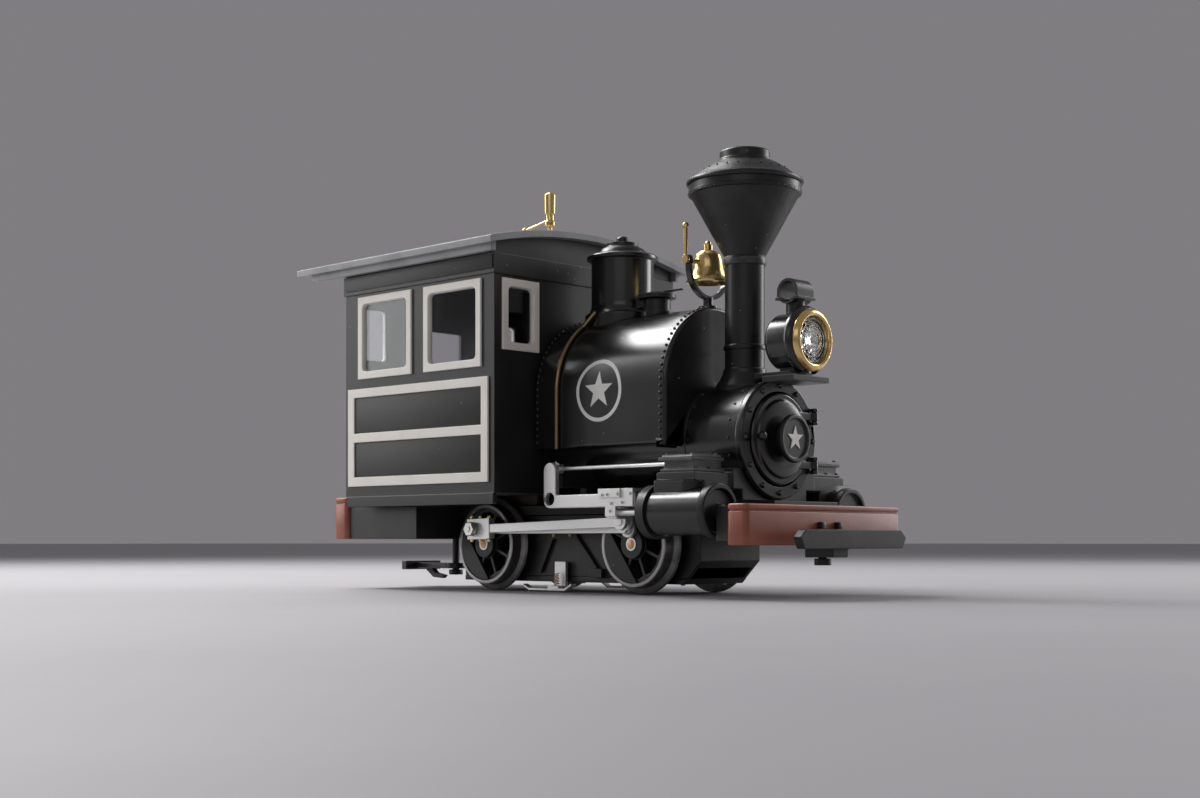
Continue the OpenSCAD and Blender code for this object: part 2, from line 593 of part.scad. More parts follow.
// ---- cab ----
module under_roof(margin) x_bar(-140, 20, 0, roof_top - roof_arc, roof_arc - roof_t - margin);
module side_window(x, in) translate([x[0] + in, window_z[0] + in])
    square([x[1] - x[0] - 2 * in, window_z[1] - window_z[0] - 2 * in]);
module end_window(in) translate([end_window_y[0] + in, end_window_z[0] + in])
    square([end_window_y[1] - end_window_y[0] - 2 * in, end_window_z[1] - end_window_z[0] - 2 * in]);
// An outline in Y and Z, made a plate from x to x + t, on both sides of the centre line
module end_plate(x, t) both_sides() translate([x, 0, 0]) rotate([90, 0, 90]) linear_extrude(t) children();
module cab_body() color("#161616") difference() {
    union() {
        intersection() {
            wide([cab_back, cab_front], cab_half, [floor_z, 150]);
            under_roof(0);
        }
        wide([cab_back - 0.7, cab_front + 0.7], cab_half + 0.7, [122.6, 130.4]);
        both_sides() box([cab_back + 1.7, cab_front], [-cab_half - 0.6, -cab_half + 1.4], [deck_z, floor_z]);
    }
    wide([cab_back + wall, cab_front - wall], cab_half - wall, [floor_z - 1, 150]);
    right_plate(-60, 120) for (w = side_windows) side_window(w, frame_w);
    end_plate(cab_back - 5, 110) end_window(frame_w);
    wide([cab_back - 1, cab_back + wall + 1], 12, [floor_z - 1, 112]);
    both_sides() box([cab_back - 1, cab_back + wall], [-cab_half + 1.4, 0], [deck_z, floor_z]);
}
module cab_floor() color("#2b2520") union() {
    wide([cab_back + wall, cab_front - wall], cab_half - wall, [floor_z, floor_z + 2]);
    wide([-95, -18], 16, [deck_z, floor_z + 0.1]);
}
module cab_roof() color("#2a2b2c") union() {
    intersection() {
        x_bar(roof_back, roof_front, 0, roof_top - roof_arc, roof_arc);
        difference() {
            wide([roof_back, roof_front], roof_half, [120, 150]);
            under_roof(0);
        }
    }
    difference() {
        both_sides() box([-117.6, roof_front - 2], [cab_half + 0.8, cab_half + 3.2], [130.6, 135]);
        difference() {
            wide([-130, 10], 70, [120, 150]);
            under_roof(-0.1);
        }
    }
}
module window_frames() color("#e9e6df") {
    both_sides() for (w = side_windows) right_plate(cab_half, 0.8) difference() {
        side_window(w, 0);
        side_window(w, frame_w);
    }
    for (x = [cab_front, cab_back - 0.8]) end_plate(x, 0.8) difference() {
        end_window(0);
        end_window(frame_w);
    }
}
module window_glass() color("#c8d6dc", 0.35) {
    both_sides() for (w = side_windows) right_plate(cab_half - 1.6, 1) side_window(w, frame_w);
    for (x = [cab_front - 1.6, cab_back + 0.6]) end_plate(x, 1) end_window(frame_w);
}
module panel_frames() color("#e9e6df") both_sides() right_plate(cab_half, 0.8) difference() {
    translate([panel_x[0], panel_z[0]]) square([panel_x[1] - panel_x[0], panel_z[1] - panel_z[0]]);
    for (z = [[46.6, 61.1], [64.8, 79.7]])
        translate([panel_x[0] + 4.1, z[0]]) square([panel_x[1] - panel_x[0] - 8, z[1] - z[0]]);
}
module backhead() color("#1d1d1d") union() {
    x_bar(cab_front - wall - 4, cab_front - wall, 0, 62, 17);
    wide([cab_front - wall - 4, cab_front - wall], 17, [floor_z + 2, 62]);
    x_bar(cab_front - wall - 5.4, cab_front - wall - 3.9, -6, 70, 3);
    x_bar(cab_front - wall - 5.4, cab_front - wall - 3.9, 6, 70, 3);
    wide([cab_front - wall - 6, cab_front - wall - 3.9], 6, [46, 54]);
}
module whistle() color("#c9a24a") translate([-27.2, 0, 0]) union() {
    translate([0, 0, roof_top]) rotate_extrude()
        polygon([[0, 0], [2.6, 0], [2.6, 0.8], [1, 1.4], [0.9, 6.4], [2, 7], [2.2, 8.6], [1.7, 9.4], [1.7, 11.4],
            [2.3, 12], [2.4, 19.8], [1.4, 20.6], [0, 20.9]]);
    translate([-14.6, 0, roof_top + 7]) rotate([0, 80, 0]) cylinder(r = 0.55, h = 14.6);
    translate([-14.8, 0, roof_top + 7]) sphere(r = 1.3);
}

// ---- what is drawn ----
chassis_frame();
motor_block();
bottom_cover();
motor_can();
armature();
brake_rigging();
buffer_beams();
coupler_pins();
front_coupler();
rear_coupler();
axle(front_x, 29.8);  // front_axle
wheel_centres(front_x);  // front_wheel_centres
tyres(front_x);  // front_tyres
axle(rear_x, 33.4);  // rear_axle
wheel_centres(rear_x);  // rear_wheel_centres
tyres(rear_x);  // rear_tyres
side_rod(rear_x, axle_z + crank);  // side_rod_right
mirror([0, 1, 0]) side_rod(rear_x - crank, axle_z);  // side_rod_left
main_rod([rear_x, axle_z + crank], [crosshead_x, crosshead_z]);  // main_rod_right
mirror([0, 1, 0]) main_rod([rear_x - crank, axle_z], [crosshead_left_x, crosshead_z]);  // main_rod_left
crosshead(crosshead_x);  // crosshead_right
mirror([0, 1, 0]) crosshead(crosshead_left_x);  // crosshead_left
cylinders();
cylinder_covers();
cylinder_saddle();
steam_chests();
guide_bars();
pickup_shoe();  // pickup_shoe_right
mirror([0, 1, 0]) pickup_shoe();  // pickup_shoe_left
boiler();
smokebox_barrel();
smokebox_ring();
smokebox_door();
number_plate();
saddle_tank();
steam_dome();
dome_cap();
side_pipes();
filler_neck();
filler_lid();
bell_stand();
bell();
bell_clapper();
stack_pipe();
stack_cone();
stack_cap();
lamp_platform();
lamp_body();
lamp_bezel();
lamp_lens();
lamp_bulb();
lamp_chimney();
cab_body();
cab_floor();
cab_roof();
window_frames();
window_glass();
panel_frames();
backhead();
whistle();
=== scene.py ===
import json
from math import cos, floor, pi, radians, sin, sqrt, tau

import bmesh
import bpy
from mathutils import Matrix, Vector

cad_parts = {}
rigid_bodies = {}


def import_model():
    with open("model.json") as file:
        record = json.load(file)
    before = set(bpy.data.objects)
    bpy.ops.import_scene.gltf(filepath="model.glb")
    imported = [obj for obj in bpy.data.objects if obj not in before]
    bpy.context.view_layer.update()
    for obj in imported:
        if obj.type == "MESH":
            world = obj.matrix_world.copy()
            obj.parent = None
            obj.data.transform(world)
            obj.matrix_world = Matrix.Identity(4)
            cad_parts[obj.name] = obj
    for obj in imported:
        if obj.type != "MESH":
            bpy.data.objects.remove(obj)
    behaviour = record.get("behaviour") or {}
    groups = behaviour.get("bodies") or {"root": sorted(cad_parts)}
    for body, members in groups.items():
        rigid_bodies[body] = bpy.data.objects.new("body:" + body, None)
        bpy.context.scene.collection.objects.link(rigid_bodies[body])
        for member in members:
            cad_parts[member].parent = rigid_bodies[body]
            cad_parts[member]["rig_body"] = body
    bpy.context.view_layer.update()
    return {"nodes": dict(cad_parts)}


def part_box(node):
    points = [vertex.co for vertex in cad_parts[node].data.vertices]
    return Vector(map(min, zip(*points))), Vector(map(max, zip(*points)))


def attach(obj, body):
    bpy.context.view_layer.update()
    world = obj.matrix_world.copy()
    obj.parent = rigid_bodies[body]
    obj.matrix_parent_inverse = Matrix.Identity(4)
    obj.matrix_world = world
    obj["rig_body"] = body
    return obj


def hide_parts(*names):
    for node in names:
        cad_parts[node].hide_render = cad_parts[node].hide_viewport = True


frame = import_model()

bl_info = {
    "name": "Saddle tank locomotive finish",
    "version": (1, 0, 0),
    "blender": (4, 5, 0),
    "location": "View3D > Sidebar > Locomotive",
    "description": "Builds the paint, metalwork, rivets and glass of a small saddle tank locomotive",
    "category": "Object",
}

MM = 0.001
SIDES = (-1, 1)
OUTWARD = {-1: "-Y", 1: "Y"}

# Places on the model, in millimetres: +X is forward, +Y is the left side
TANK_R = 30.0
TANK_ARCH_Z = 77.5
TANK_LOW_Z = 58.4
TANK_ROWS_X = (-3.4, 60.6)
BOILER_Z = 57.0
RING_FACE_X = 92.0
CYLINDER_Y = 38.7
CYLINDER_Z = 30.4
CHIMNEY_X = 75.8
LAMP_Z = 91.7
LAMP_X = 106.0
CAB_HALF = 50.9
CAB_FRONT = -5.5
CAB_BACK = -97.7
AXLE_X = {"front": 43.85, "rear": -37.65}
AXLE_Z = 18.9
CRANK = 6.0
HEAD_Y = {"front": 31.0, "rear": 34.6}
SIDE_WINDOWS_X = ((-88.7, -54.3), (-46.7, -12.5))
SIDE_WINDOWS_Z = (87.3, 121.3)
END_WINDOW = (27.6, 47.0, 93.7, 121.2)
WINDOW_RIM = 3.0
PANELS_X = (-90.6, -13.2)
PANELS_Z = ((47.2, 60.5), (65.4, 79.1))
BEAM_HALF = 45.6


# ---- what a user may change ----
def colour(name, description, red, green, blue):
    return bpy.props.FloatVectorProperty(
        name=name, description=description, subtype="COLOR", size=4,
        min=0.0, max=1.0, default=(red, green, blue, 1.0))


def length(name, description, millimetres, low=0.0):
    return bpy.props.FloatProperty(
        name=name, description=description, unit="LENGTH", precision=5,
        min=low * MM, default=millimetres * MM)


class LocoColours(bpy.types.PropertyGroup):
    """Paint and metal colours of the locomotive"""
    gloss_black: colour("Gloss black", "Tank, boiler and dome paint", 0.0065, 0.0068, 0.0066)
    satin_black: colour("Satin black", "Cab and chassis paint", 0.0105, 0.0108, 0.0105)
    faded_black: colour("Faded black", "Where handling has dulled the black", 0.021, 0.021, 0.020)
    worn_grey: colour("Worn grey", "Rubbed steam chests and steps", 0.085, 0.086, 0.086)
    dust: colour("Dust", "Pale dust and specks", 0.42, 0.40, 0.38)
    trim_white: colour("Trim white", "Window and panel frames", 0.86, 0.83, 0.76)
    beam_red: colour("Beam red", "Buffer beams", 0.33, 0.096, 0.055)
    roof_grey: colour("Roof grey", "Cab roof", 0.30, 0.305, 0.31)
    brass: colour("Brass", "Bell, whistle and lamp rim", 0.56, 0.40, 0.20)
    nickel: colour("Nickel", "Rods, guides and tyres", 0.34, 0.33, 0.31)
    copper: colour("Copper", "Pins and motor winding", 0.72, 0.33, 0.19)
    pipe_brown: colour("Pipe brown", "Pipes over the tank", 0.36, 0.25, 0.15)


class LocoSizes(bpy.types.PropertyGroup):
    """Sizes of the small details"""
    tank_rivet: length("Tank rivet radius", "Radius of a rivet head on the tank", 0.62, 0.1)
    tank_rivet_pitch: length("Tank rivet pitch", "Distance between rivets on the tank", 2.55, 1.0)
    small_rivet: length("Small rivet radius", "Rivets on the chimney and smokebox", 0.42, 0.1)
    roundel_radius: length("Roundel radius", "Outer radius of the tank's white ring", 11.7, 4.0)
    roundel_line: length("Roundel line", "Width of the white ring", 1.45, 0.3)
    star_radius: length("Star radius", "Radius of the star in the ring", 7.4, 1.0)
    plate_star: length("Plate star radius", "Radius of the star on the front plate", 4.7, 1.0)
    lens_rings: bpy.props.IntProperty(
        name="Lens rings", description="Ridges moulded in the lamp lens", min=2, max=12, default=6)
    light: bpy.props.FloatProperty(
        name="Studio light", description="Strength of all studio lights", min=0.1, max=5.0, default=1.0)


# ---- node trees ----
def put(tree, kind, inputs=None, **settings):
    """Adds a node; an input that is given a socket is linked to it."""
    node = tree.nodes.new(kind)
    for key, value in settings.items():
        setattr(node, key, value)
    for key, value in (inputs or {}).items():
        if isinstance(value, bpy.types.NodeSocket):
            tree.links.new(value, node.inputs[key])
        else:
            node.inputs[key].default_value = value
    return node


def sockets(tree, in_out, rows):
    for name, kind, default in rows:
        made = tree.interface.new_socket(name=name, in_out=in_out, socket_type="NodeSocket" + kind)
        if default is not None:
            made.default_value = default


def group_of(name, tree_kind, inputs, outputs):
    tree = bpy.data.node_groups.new(name, tree_kind)
    sockets(tree, "INPUT", inputs)
    sockets(tree, "OUTPUT", outputs)
    return tree, put(tree, "NodeGroupInput").outputs, put(tree, "NodeGroupOutput").inputs


def maths(tree, operation, a, b=0.5, clamp=False):
    return put(tree, "ShaderNodeMath", {0: a, 1: b}, operation=operation, use_clamp=clamp).outputs[0]


def ramped(tree, value, low, high, top=1.0):
    """0 where value is low or less, rising smoothly to top at high."""
    return put(tree, "ShaderNodeMapRange", {0: value, 1: low, 2: high, 3: 0.0, 4: top},
               interpolation_type="SMOOTHSTEP").outputs[0]


def noise(tree, vector, scale, detail=3.0, roughness=0.55):
    return put(tree, "ShaderNodeTexNoise",
               {"Vector": vector, "Scale": scale, "Detail": detail, "Roughness": roughness}).outputs[0]


def blended(tree, share, first, second):
    mix = put(tree, "ShaderNodeMix", {0: share}, data_type="RGBA")
    for socket, value in ((mix.inputs[6], first), (mix.inputs[7], second)):
        if isinstance(value, bpy.types.NodeSocket):
            tree.links.new(value, socket)
        else:
            socket.default_value = value
    return mix.outputs[2]


SKIN_OUTPUTS = [("Colour", "Color", None), ("Roughness", "Float", None), ("Normal", "Vector", None)]


def paint_skin():
    """Sprayed paint: cloudy fading, dust on what faces up, pale specks and a fine orange peel."""
    name = "paint skin"
    if name in bpy.data.node_groups:
        return bpy.data.node_groups[name]
    tree, given, result = group_of(name, "ShaderNodeTree", [
        ("Paint", "Color", (0, 0, 0, 1)), ("Faded", "Color", (0, 0, 0, 1)), ("Dust", "Color", (0, 0, 0, 1)),
        ("Patch Size", "Float", 60.0), ("Patch Strength", "Float", 0.5),
        ("Base Roughness", "Float", 0.3), ("Roughness Spread", "Float", 0.1),
        ("Grain Size", "Float", 2500.0), ("Grain Height", "Float", 0.1),
        ("Dust Amount", "Float", 0.1), ("Speck Share", "Float", 0.02)], SKIN_OUTPUTS)
    place = put(tree, "ShaderNodeTexCoord").outputs["Object"]
    cloud = noise(tree, place, given["Patch Size"], 5.0, 0.6)
    faded = maths(tree, "MULTIPLY", ramped(tree, cloud, 0.42, 0.66), given["Patch Strength"])
    body = blended(tree, faded, given["Paint"], given["Faded"])
    cells = put(tree, "ShaderNodeTexVoronoi", {"Vector": place, "Scale": 620.0})
    pick = put(tree, "ShaderNodeSeparateColor", {0: cells.outputs["Color"]}).outputs[0]
    chosen = maths(tree, "LESS_THAN", pick, given["Speck Share"])
    near = maths(tree, "LESS_THAN", cells.outputs["Distance"], 0.16)
    specks = maths(tree, "MULTIPLY", chosen, near)
    facing = put(tree, "ShaderNodeSeparateXYZ", {0: put(tree, "ShaderNodeNewGeometry").outputs["Normal"]})
    upward = ramped(tree, facing.outputs[2], 0.25, 1.0)
    drift = maths(tree, "MULTIPLY", upward, ramped(tree, noise(tree, place, 190.0, 6.0, 0.7), 0.36, 0.72))
    dusty = maths(tree, "MAXIMUM", maths(tree, "MULTIPLY", specks, 0.55),
                  maths(tree, "MULTIPLY", drift, given["Dust Amount"]))
    grain = noise(tree, place, given["Grain Size"], 2.0)
    spread = maths(tree, "MULTIPLY", maths(tree, "SUBTRACT", cloud, 0.5), given["Roughness Spread"])
    rough = maths(tree, "ADD", maths(tree, "ADD", given["Base Roughness"], spread),
                  maths(tree, "MULTIPLY", dusty, 0.5), clamp=True)
    bump = put(tree, "ShaderNodeBump", {
        "Strength": given["Grain Height"], "Distance": 0.0001, "Height": grain})
    tree.links.new(blended(tree, dusty, body, given["Dust"]), result["Colour"])
    tree.links.new(rough, result["Roughness"])
    tree.links.new(bump.outputs[0], result["Normal"])
    return tree


def metal_skin():
    """Bare metal: drawn or brushed lines along one direction, tarnish clouds and uneven shine."""
    name = "metal skin"
    if name in bpy.data.node_groups:
        return bpy.data.node_groups[name]
    tree, given, result = group_of(name, "ShaderNodeTree", [
        ("Metal", "Color", (0, 0, 0, 1)), ("Tarnish", "Color", (0, 0, 0, 1)),
        ("Tarnish Size", "Float", 120.0), ("Tarnish Strength", "Float", 0.4),
        ("Base Roughness", "Float", 0.25), ("Roughness Spread", "Float", 0.2),
        ("Line Stretch", "Vector", (1, 1, 1)), ("Line Size", "Float", 900.0),
        ("Line Height", "Float", 0.1)], SKIN_OUTPUTS)
    place = put(tree, "ShaderNodeTexCoord").outputs["Object"]
    drawn = put(tree, "ShaderNodeVectorMath", {0: place, 1: given["Line Stretch"]},
                operation="MULTIPLY").outputs[0]
    lines = noise(tree, drawn, given["Line Size"], 4.0, 0.6)
    cloud = noise(tree, place, given["Tarnish Size"], 5.0, 0.65)
    dull = maths(tree, "MULTIPLY", ramped(tree, cloud, 0.44, 0.68), given["Tarnish Strength"])
    tone = blended(tree, dull, given["Metal"], given["Tarnish"])
    rubbed = maths(tree, "MULTIPLY", maths(tree, "SUBTRACT", lines, 0.5), given["Roughness Spread"])
    rough = maths(tree, "ADD", maths(tree, "ADD", given["Base Roughness"], rubbed),
                  maths(tree, "MULTIPLY", dull, 0.3), clamp=True)
    bump = put(tree, "ShaderNodeBump", {
        "Strength": given["Line Height"], "Distance": 0.00005, "Height": lines})
    tree.links.new(tone, result["Colour"])
    tree.links.new(rough, result["Roughness"])
    tree.links.new(bump.outputs[0], result["Normal"])
    return tree


def shaded(name, skin, values, constants):
    """A material whose colour, roughness and normal come from a skin group."""
    material = bpy.data.materials.new(name)
    material.use_nodes = True
    tree = material.node_tree
    tree.nodes.clear()
    group = put(tree, "ShaderNodeGroup", node_tree=skin())
    for key, value in values.items():
        group.inputs[key].default_value = value
    shader = put(tree, "ShaderNodeBsdfPrincipled", dict(
        {"Base Color": group.outputs["Colour"], "Roughness": group.outputs["Roughness"],
         "Normal": group.outputs["Normal"]}, **constants))
    put(tree, "ShaderNodeOutputMaterial", {"Surface": shader.outputs[0]})
    return material


def toned(choice, share=1):
    """A tone from the tables below, times share."""
    if isinstance(choice, str):
        choice = getattr(bpy.context.scene.loco_colours, choice)
    elif isinstance(choice[0], str):
        return toned(choice[0], choice[1] * share)
    return (choice[0] * share, choice[1] * share, choice[2] * share, 1.0)


def paint(name, tone, worn, rough, patch, grain, dust):
    return shaded(name, paint_skin, {
        "Paint": toned(tone), "Faded": toned(worn), "Dust": toned("dust"),
        "Patch Size": patch[0], "Patch Strength": patch[1],
        "Base Roughness": rough[0], "Roughness Spread": rough[1],
        "Grain Size": grain[0], "Grain Height": grain[1],
        "Dust Amount": dust[0], "Speck Share": dust[1]}, LACQUER if name in LACQUERED else {})


def metal(name, tone, rough, stretch, lines, tarnish):
    return shaded(name, metal_skin, {
        "Metal": toned(tone), "Tarnish": toned(tone, tarnish[1]), "Tarnish Strength": tarnish[0],
        "Base Roughness": rough[0], "Roughness Spread": rough[1], "Line Stretch": stretch,
        "Line Size": lines[0], "Line Height": lines[1]}, {"Metallic": 1.0})


def glass(name, tone, rough, bend):
    return shaded(name, paint_skin, {
        "Paint": toned(tone), "Faded": toned(tone), "Dust": (0.8, 0.8, 0.8, 1), "Base Roughness": rough,
        "Roughness Spread": rough, "Grain Size": 300.0, "Grain Height": 0.02, "Dust Amount": 0.0,
        "Speck Share": 0.0}, {"Transmission Weight": 1.0, "IOR": bend})


# A tone is the name of a colour above, that name and a share of it, or its red, green and blue.
# Each paint: its tone and its faded tone; roughness and its spread; size and strength of the faded
# patches; size and height of the grain; amount of dust and share of specks.
PAINTS = {
    "gloss black": ("gloss_black", "faded_black", (0.24, 0.10), (45, 0.22), (2600, 0.05), (0.02, 0.004)),
    "rivet black": (("gloss_black", 1.2), "faded_black", (0.26, 0.1), (90, 0.5), (2600, 0.05), (0.12, 0.004)),
    "lip grey": (("faded_black", 5), ("worn_grey", 2), (0.4, 0.2), (140, 0.7), (1700, 0.3), (0.2, 0.03)),
    "satin black": ("satin_black", "faded_black", (0.36, 0.16), (55, 0.5), (2400, 0.14), (0.05, 0.010)),
    "cab black": ("satin_black", "faded_black", (0.42, 0.14), (38, 0.55), (2100, 0.22), (0.05, 0.016)),
    "panel black": (("satin_black", 1.1), "faded_black", (0.5, 0.1), (50, 0.5), (1600, 0.5), (0.03, 0.02)),
    "cast black": ("satin_black", ("faded_black", 1.5), (0.46, 0.18), (90, 0.8), (1500, 0.8), (0.05, 0.012)),
    "under black": ("satin_black", "faded_black", (0.44, 0.16), (70, 0.7), (1900, 0.3), (0.12, 0.02)),
    # rubbed edge and painted highlight: a paler black for rounded edges, partly rubbed paint and partly a
    # painted highlight along the edges
    "rubbed edge": (("faded_black", 1.5), ("worn_grey", 0.8), (0.38, 0.2), (160, 0.7), (2000, 0.3), (0, 0)),
    "worn grey": (("faded_black", 1.6), "worn_grey", (0.44, 0.3), (150, 0.95), (1500, 0.7), (0.3, 0.03)),
    # chest cap grey and painted highlight: a paler grey for the steam chests' rounded edges, partly rubbed
    # metal and partly a painted highlight
    "chest cap grey": ("worn_grey", ("worn_grey", 1.7), (0.4, 0.2), (170, 0.8), (1500, 0.5), (0.3, 0.03)),
    "trim white": ("trim_white", ("trim_white", 0.86), (0.42, 0.1), (80, 0.35), (1800, 0.12), (0.0, 0.0)),
    "mark white": ((0.87, 0.86, 0.83), ("trim_white", 0.8), (0.34, 0.1), (120, 0.3), (1800, 0.1), (0.0, 0.0)),
    "beam red": ("beam_red", ("beam_red", 0.68), (0.36, 0.2), (60, 0.7), (1300, 0.32), (0.05, 0.012)),
    # beam edge and painted highlight: a paler red for the beams' top edges, partly rubbed paint and partly a
    # painted highlight
    "beam edge and painted highlight": (("beam_red", 1.45), (0.36, 0.2, 0.15), (0.38, 0.2), (240, 0.6), (1500, 0.3), (0.0, 0.02)),
    "roof grey": ("roof_grey", ("roof_grey", 0.72), (0.45, 0.2), (70, 0.7), (1200, 0.4), (0.1, 0.03)),
    "floor brown": ((0.035, 0.024, 0.017), (0.06, 0.045, 0.03), (0.6, 0.1), (90, 0.8), (1500, 0.6),
                    (0.3, 0.03)),
    "dial white": ((0.75, 0.73, 0.66), (0.6, 0.57, 0.5), (0.3, 0.1), (200, 0.4), (2000, 0.05), (0.0, 0.0)),
    "floor pale": ((0.43, 0.42, 0.435), (0.39, 0.385, 0.40), (0.6, 0.1), (6, 0.5), (400, 0.1), (0.0, 0.0)),
}
LACQUERED = ("gloss black", "rivet black")
LACQUER = {"IOR": 1.6, "Coat Weight": 0.15, "Coat Roughness": 0.15}

# Each metal: its tone; roughness and its spread; stretch, size and height of the drawn lines;
# strength of the tarnish and the share of the tone that it leaves.
EVEN = (1, 1, 1)
METALS = {
    "brass": ("brass", (0.2, 0.16), (1, 1, 0.15), (700, 0.06), (0.35, 0.5)),
    "old brass": (("brass", 0.7), (0.34, 0.2), EVEN, (900, 0.1), (0.7, 0.35)),
    "nickel": ("nickel", (0.42, 0.22), (0.06, 1, 1), (1300, 0.22), (0.45, 0.62)),
    "tread grey": ((0.24, 0.235, 0.23), (0.34, 0.2), EVEN, (1400, 0.12), (0.7, 0.4)),
    "tyre nickel": ((0.40, 0.39, 0.38), (0.3, 0.2), EVEN, (1200, 0.1), (0.35, 0.6)),
    "copper": ("copper", (0.32, 0.2), (1, 0.06, 1), (900, 0.1), (0.5, 0.4)),
    "pipe brown": ("pipe_brown", (0.3, 0.2), EVEN, (900, 0.08), (0.5, 0.5)),
    "chrome": ((0.9, 0.9, 0.88), (0.09, 0.05), EVEN, (400, 0.02), (0.1, 0.7)),
}

# Each glass: its tone, roughness and index of refraction.
GLASSES = {
    "window clear": ((0.93, 0.95, 0.97), 0.04, 1.3),
    "lens clear": ((0.97, 0.98, 0.97), 0.02, 1.47),
}


def finish(name):
    """The material of that name, made when it is first asked for."""
    if name in bpy.data.materials:
        return bpy.data.materials[name]
    if name in METALS:
        return metal(name, *METALS[name])
    if name in GLASSES:
        return glass(name, *GLASSES[name])
    return paint(name, *PAINTS[name])


# ---- meshes ----
def new_object(name, mesh):
    made = bpy.data.objects.new(name, mesh)
    bpy.context.scene.collection.objects.link(made)
    return made


def baked(holder, name):
    """The plain mesh that an object's modifiers give, in a new object; the holder is removed."""
    mesh = bpy.data.meshes.new_from_object(
        holder.evaluated_get(bpy.context.evaluated_depsgraph_get()))
    mesh.name = name
    bpy.data.objects.remove(holder)
    return new_object(name, mesh)


def smooth(mesh, angle=38):
    mesh.shade_smooth()
    mesh.set_sharp_from_angle(angle=radians(angle))


def settle(made, body, stands_for=()):
    """Puts a finished piece on its body and the nodes that it stands for."""
    if stands_for:
        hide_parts(*stands_for)
    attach(made, body)
    return made


def body_of(node):
    return frame["nodes"][node]["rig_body"]


def softened(node, coat, slot, rounding=0.25, edge=None, angle=34, segments=2):
    """A node's own shape with its corners rounded, in one coat of paint or metal, its edges in another."""
    source = frame["nodes"][node].data
    work = bmesh.new()
    work.from_mesh(source)
    bmesh.ops.remove_doubles(work, verts=work.verts, dist=0.003 * MM)
    bmesh.ops.dissolve_degenerate(work, edges=work.edges, dist=0.002 * MM)
    bmesh.ops.dissolve_limit(work, angle_limit=radians(0.6), verts=work.verts, edges=work.edges)
    work.verts.index_update()
    points = [v.co[:] for v in work.verts]
    faces = [[v.index for v in f.verts] for f in work.faces]
    work.free()
    mesh = bpy.data.meshes.new(node)
    mesh.from_pydata(points, [], faces)
    for one in (coat, edge or coat):
        mesh.materials.append(finish(one))
    holder = new_object(node + "_work", mesh)
    if rounding:
        bevel = holder.modifiers.new("corners", "BEVEL")
        bevel.width = rounding * MM
        bevel.segments = segments
        bevel.limit_method = "ANGLE"
        bevel.angle_limit = radians(angle)
        bevel.use_clamp_overlap = False
        # The rounded strips take the edge coat; the paler edge coats paint a highlight along the edges as
        # well as rubbing.
        bevel.material = 1 if edge else 0
        holder = baked(holder, node + "_work")
    smooth(holder.data)
    weights = holder.modifiers.new("flat faces", "WEIGHTED_NORMAL")
    weights.keep_sharp = True
    made = baked(holder, node + "_finished")
    return settle(made, body_of(node), [node])


def dress(rows):
    for row in rows:
        softened(*row)


def lofted(name, rings, coat, closed=False, angle=38):
    """A skin over rings of as many points each, in millimetres; a ring may be one point, repeated."""
    count = len(rings[0])
    points = [Vector(p) * MM for ring in rings for p in ring]
    last = len(rings) if closed else len(rings) - 1
    faces = []
    for i in range(last):
        a, b = i * count, (i + 1) % len(rings) * count
        faces += [(a + k, a + (k + 1) % count, b + (k + 1) % count, b + k) for k in range(count)]
    mesh = bpy.data.meshes.new(name)
    mesh.from_pydata(points, [], faces)
    return tidied(mesh, name, coat, angle)


def tidied(mesh, name, coat, angle=38):
    work = bmesh.new()
    work.from_mesh(mesh)
    bmesh.ops.remove_doubles(work, verts=work.verts, dist=0.002 * MM)
    bmesh.ops.dissolve_degenerate(work, edges=work.edges, dist=0.001 * MM)
    bmesh.ops.recalc_face_normals(work, faces=work.faces)
    work.to_mesh(mesh)
    work.free()
    mesh.materials.clear()
    mesh.materials.append(finish(coat))
    smooth(mesh, angle)
    return new_object(name, mesh)


AXES = {"X": lambda r, a, h: (h, r * cos(a), r * sin(a)),
        "Y": lambda r, a, h: (r * sin(a), h, r * cos(a)),
        "Z": lambda r, a, h: (r * cos(a), r * sin(a), h)}


def turned(name, profile, axis, centre, coat, steps=64, closed=False, angle=34):
    """A profile of radius and height pairs, turned about an axis through centre."""
    place = AXES[axis]
    rings = []
    for r, h in profile:
        rings.append([Vector(place(r, tau * k / steps, h)) + Vector(centre) for k in range(steps)])
    return lofted(name, rings, coat, closed, angle)


def joined(name, parts):
    """Several objects as one mesh that keeps each one's material."""
    coats = []
    work = bmesh.new()
    for part in parts:
        start = len(work.faces)
        work.from_mesh(part.data)
        work.faces.ensure_lookup_table()
        own = []
        for one in part.data.materials:
            if one not in coats:
                coats.append(one)
            own.append(coats.index(one))
        for face in work.faces[start:]:
            face.material_index = own[min(face.material_index, len(own) - 1)]
        bpy.data.objects.remove(part)
    mesh = bpy.data.meshes.new(name)
    work.to_mesh(mesh)
    work.free()
    for one in coats:
        mesh.materials.append(one)
    return new_object(name, mesh)


def rounded_rect(x0, x1, z0, z1, r, steps=5):
    """Corner points of a rectangle with rounded corners; r = 0 repeats each corner."""
    points = []
    for cx, cz, start in ((x1 - r, z1 - r, 0), (x0 + r, z1 - r, 1), (x0 + r, z0 + r, 2), (x1 - r, z0 + r, 3)):
        for k in range(steps + 1):
            a = pi / 2 * (start + k / steps)
            points.append((cx + r * cos(a), cz + r * sin(a)))
    return points


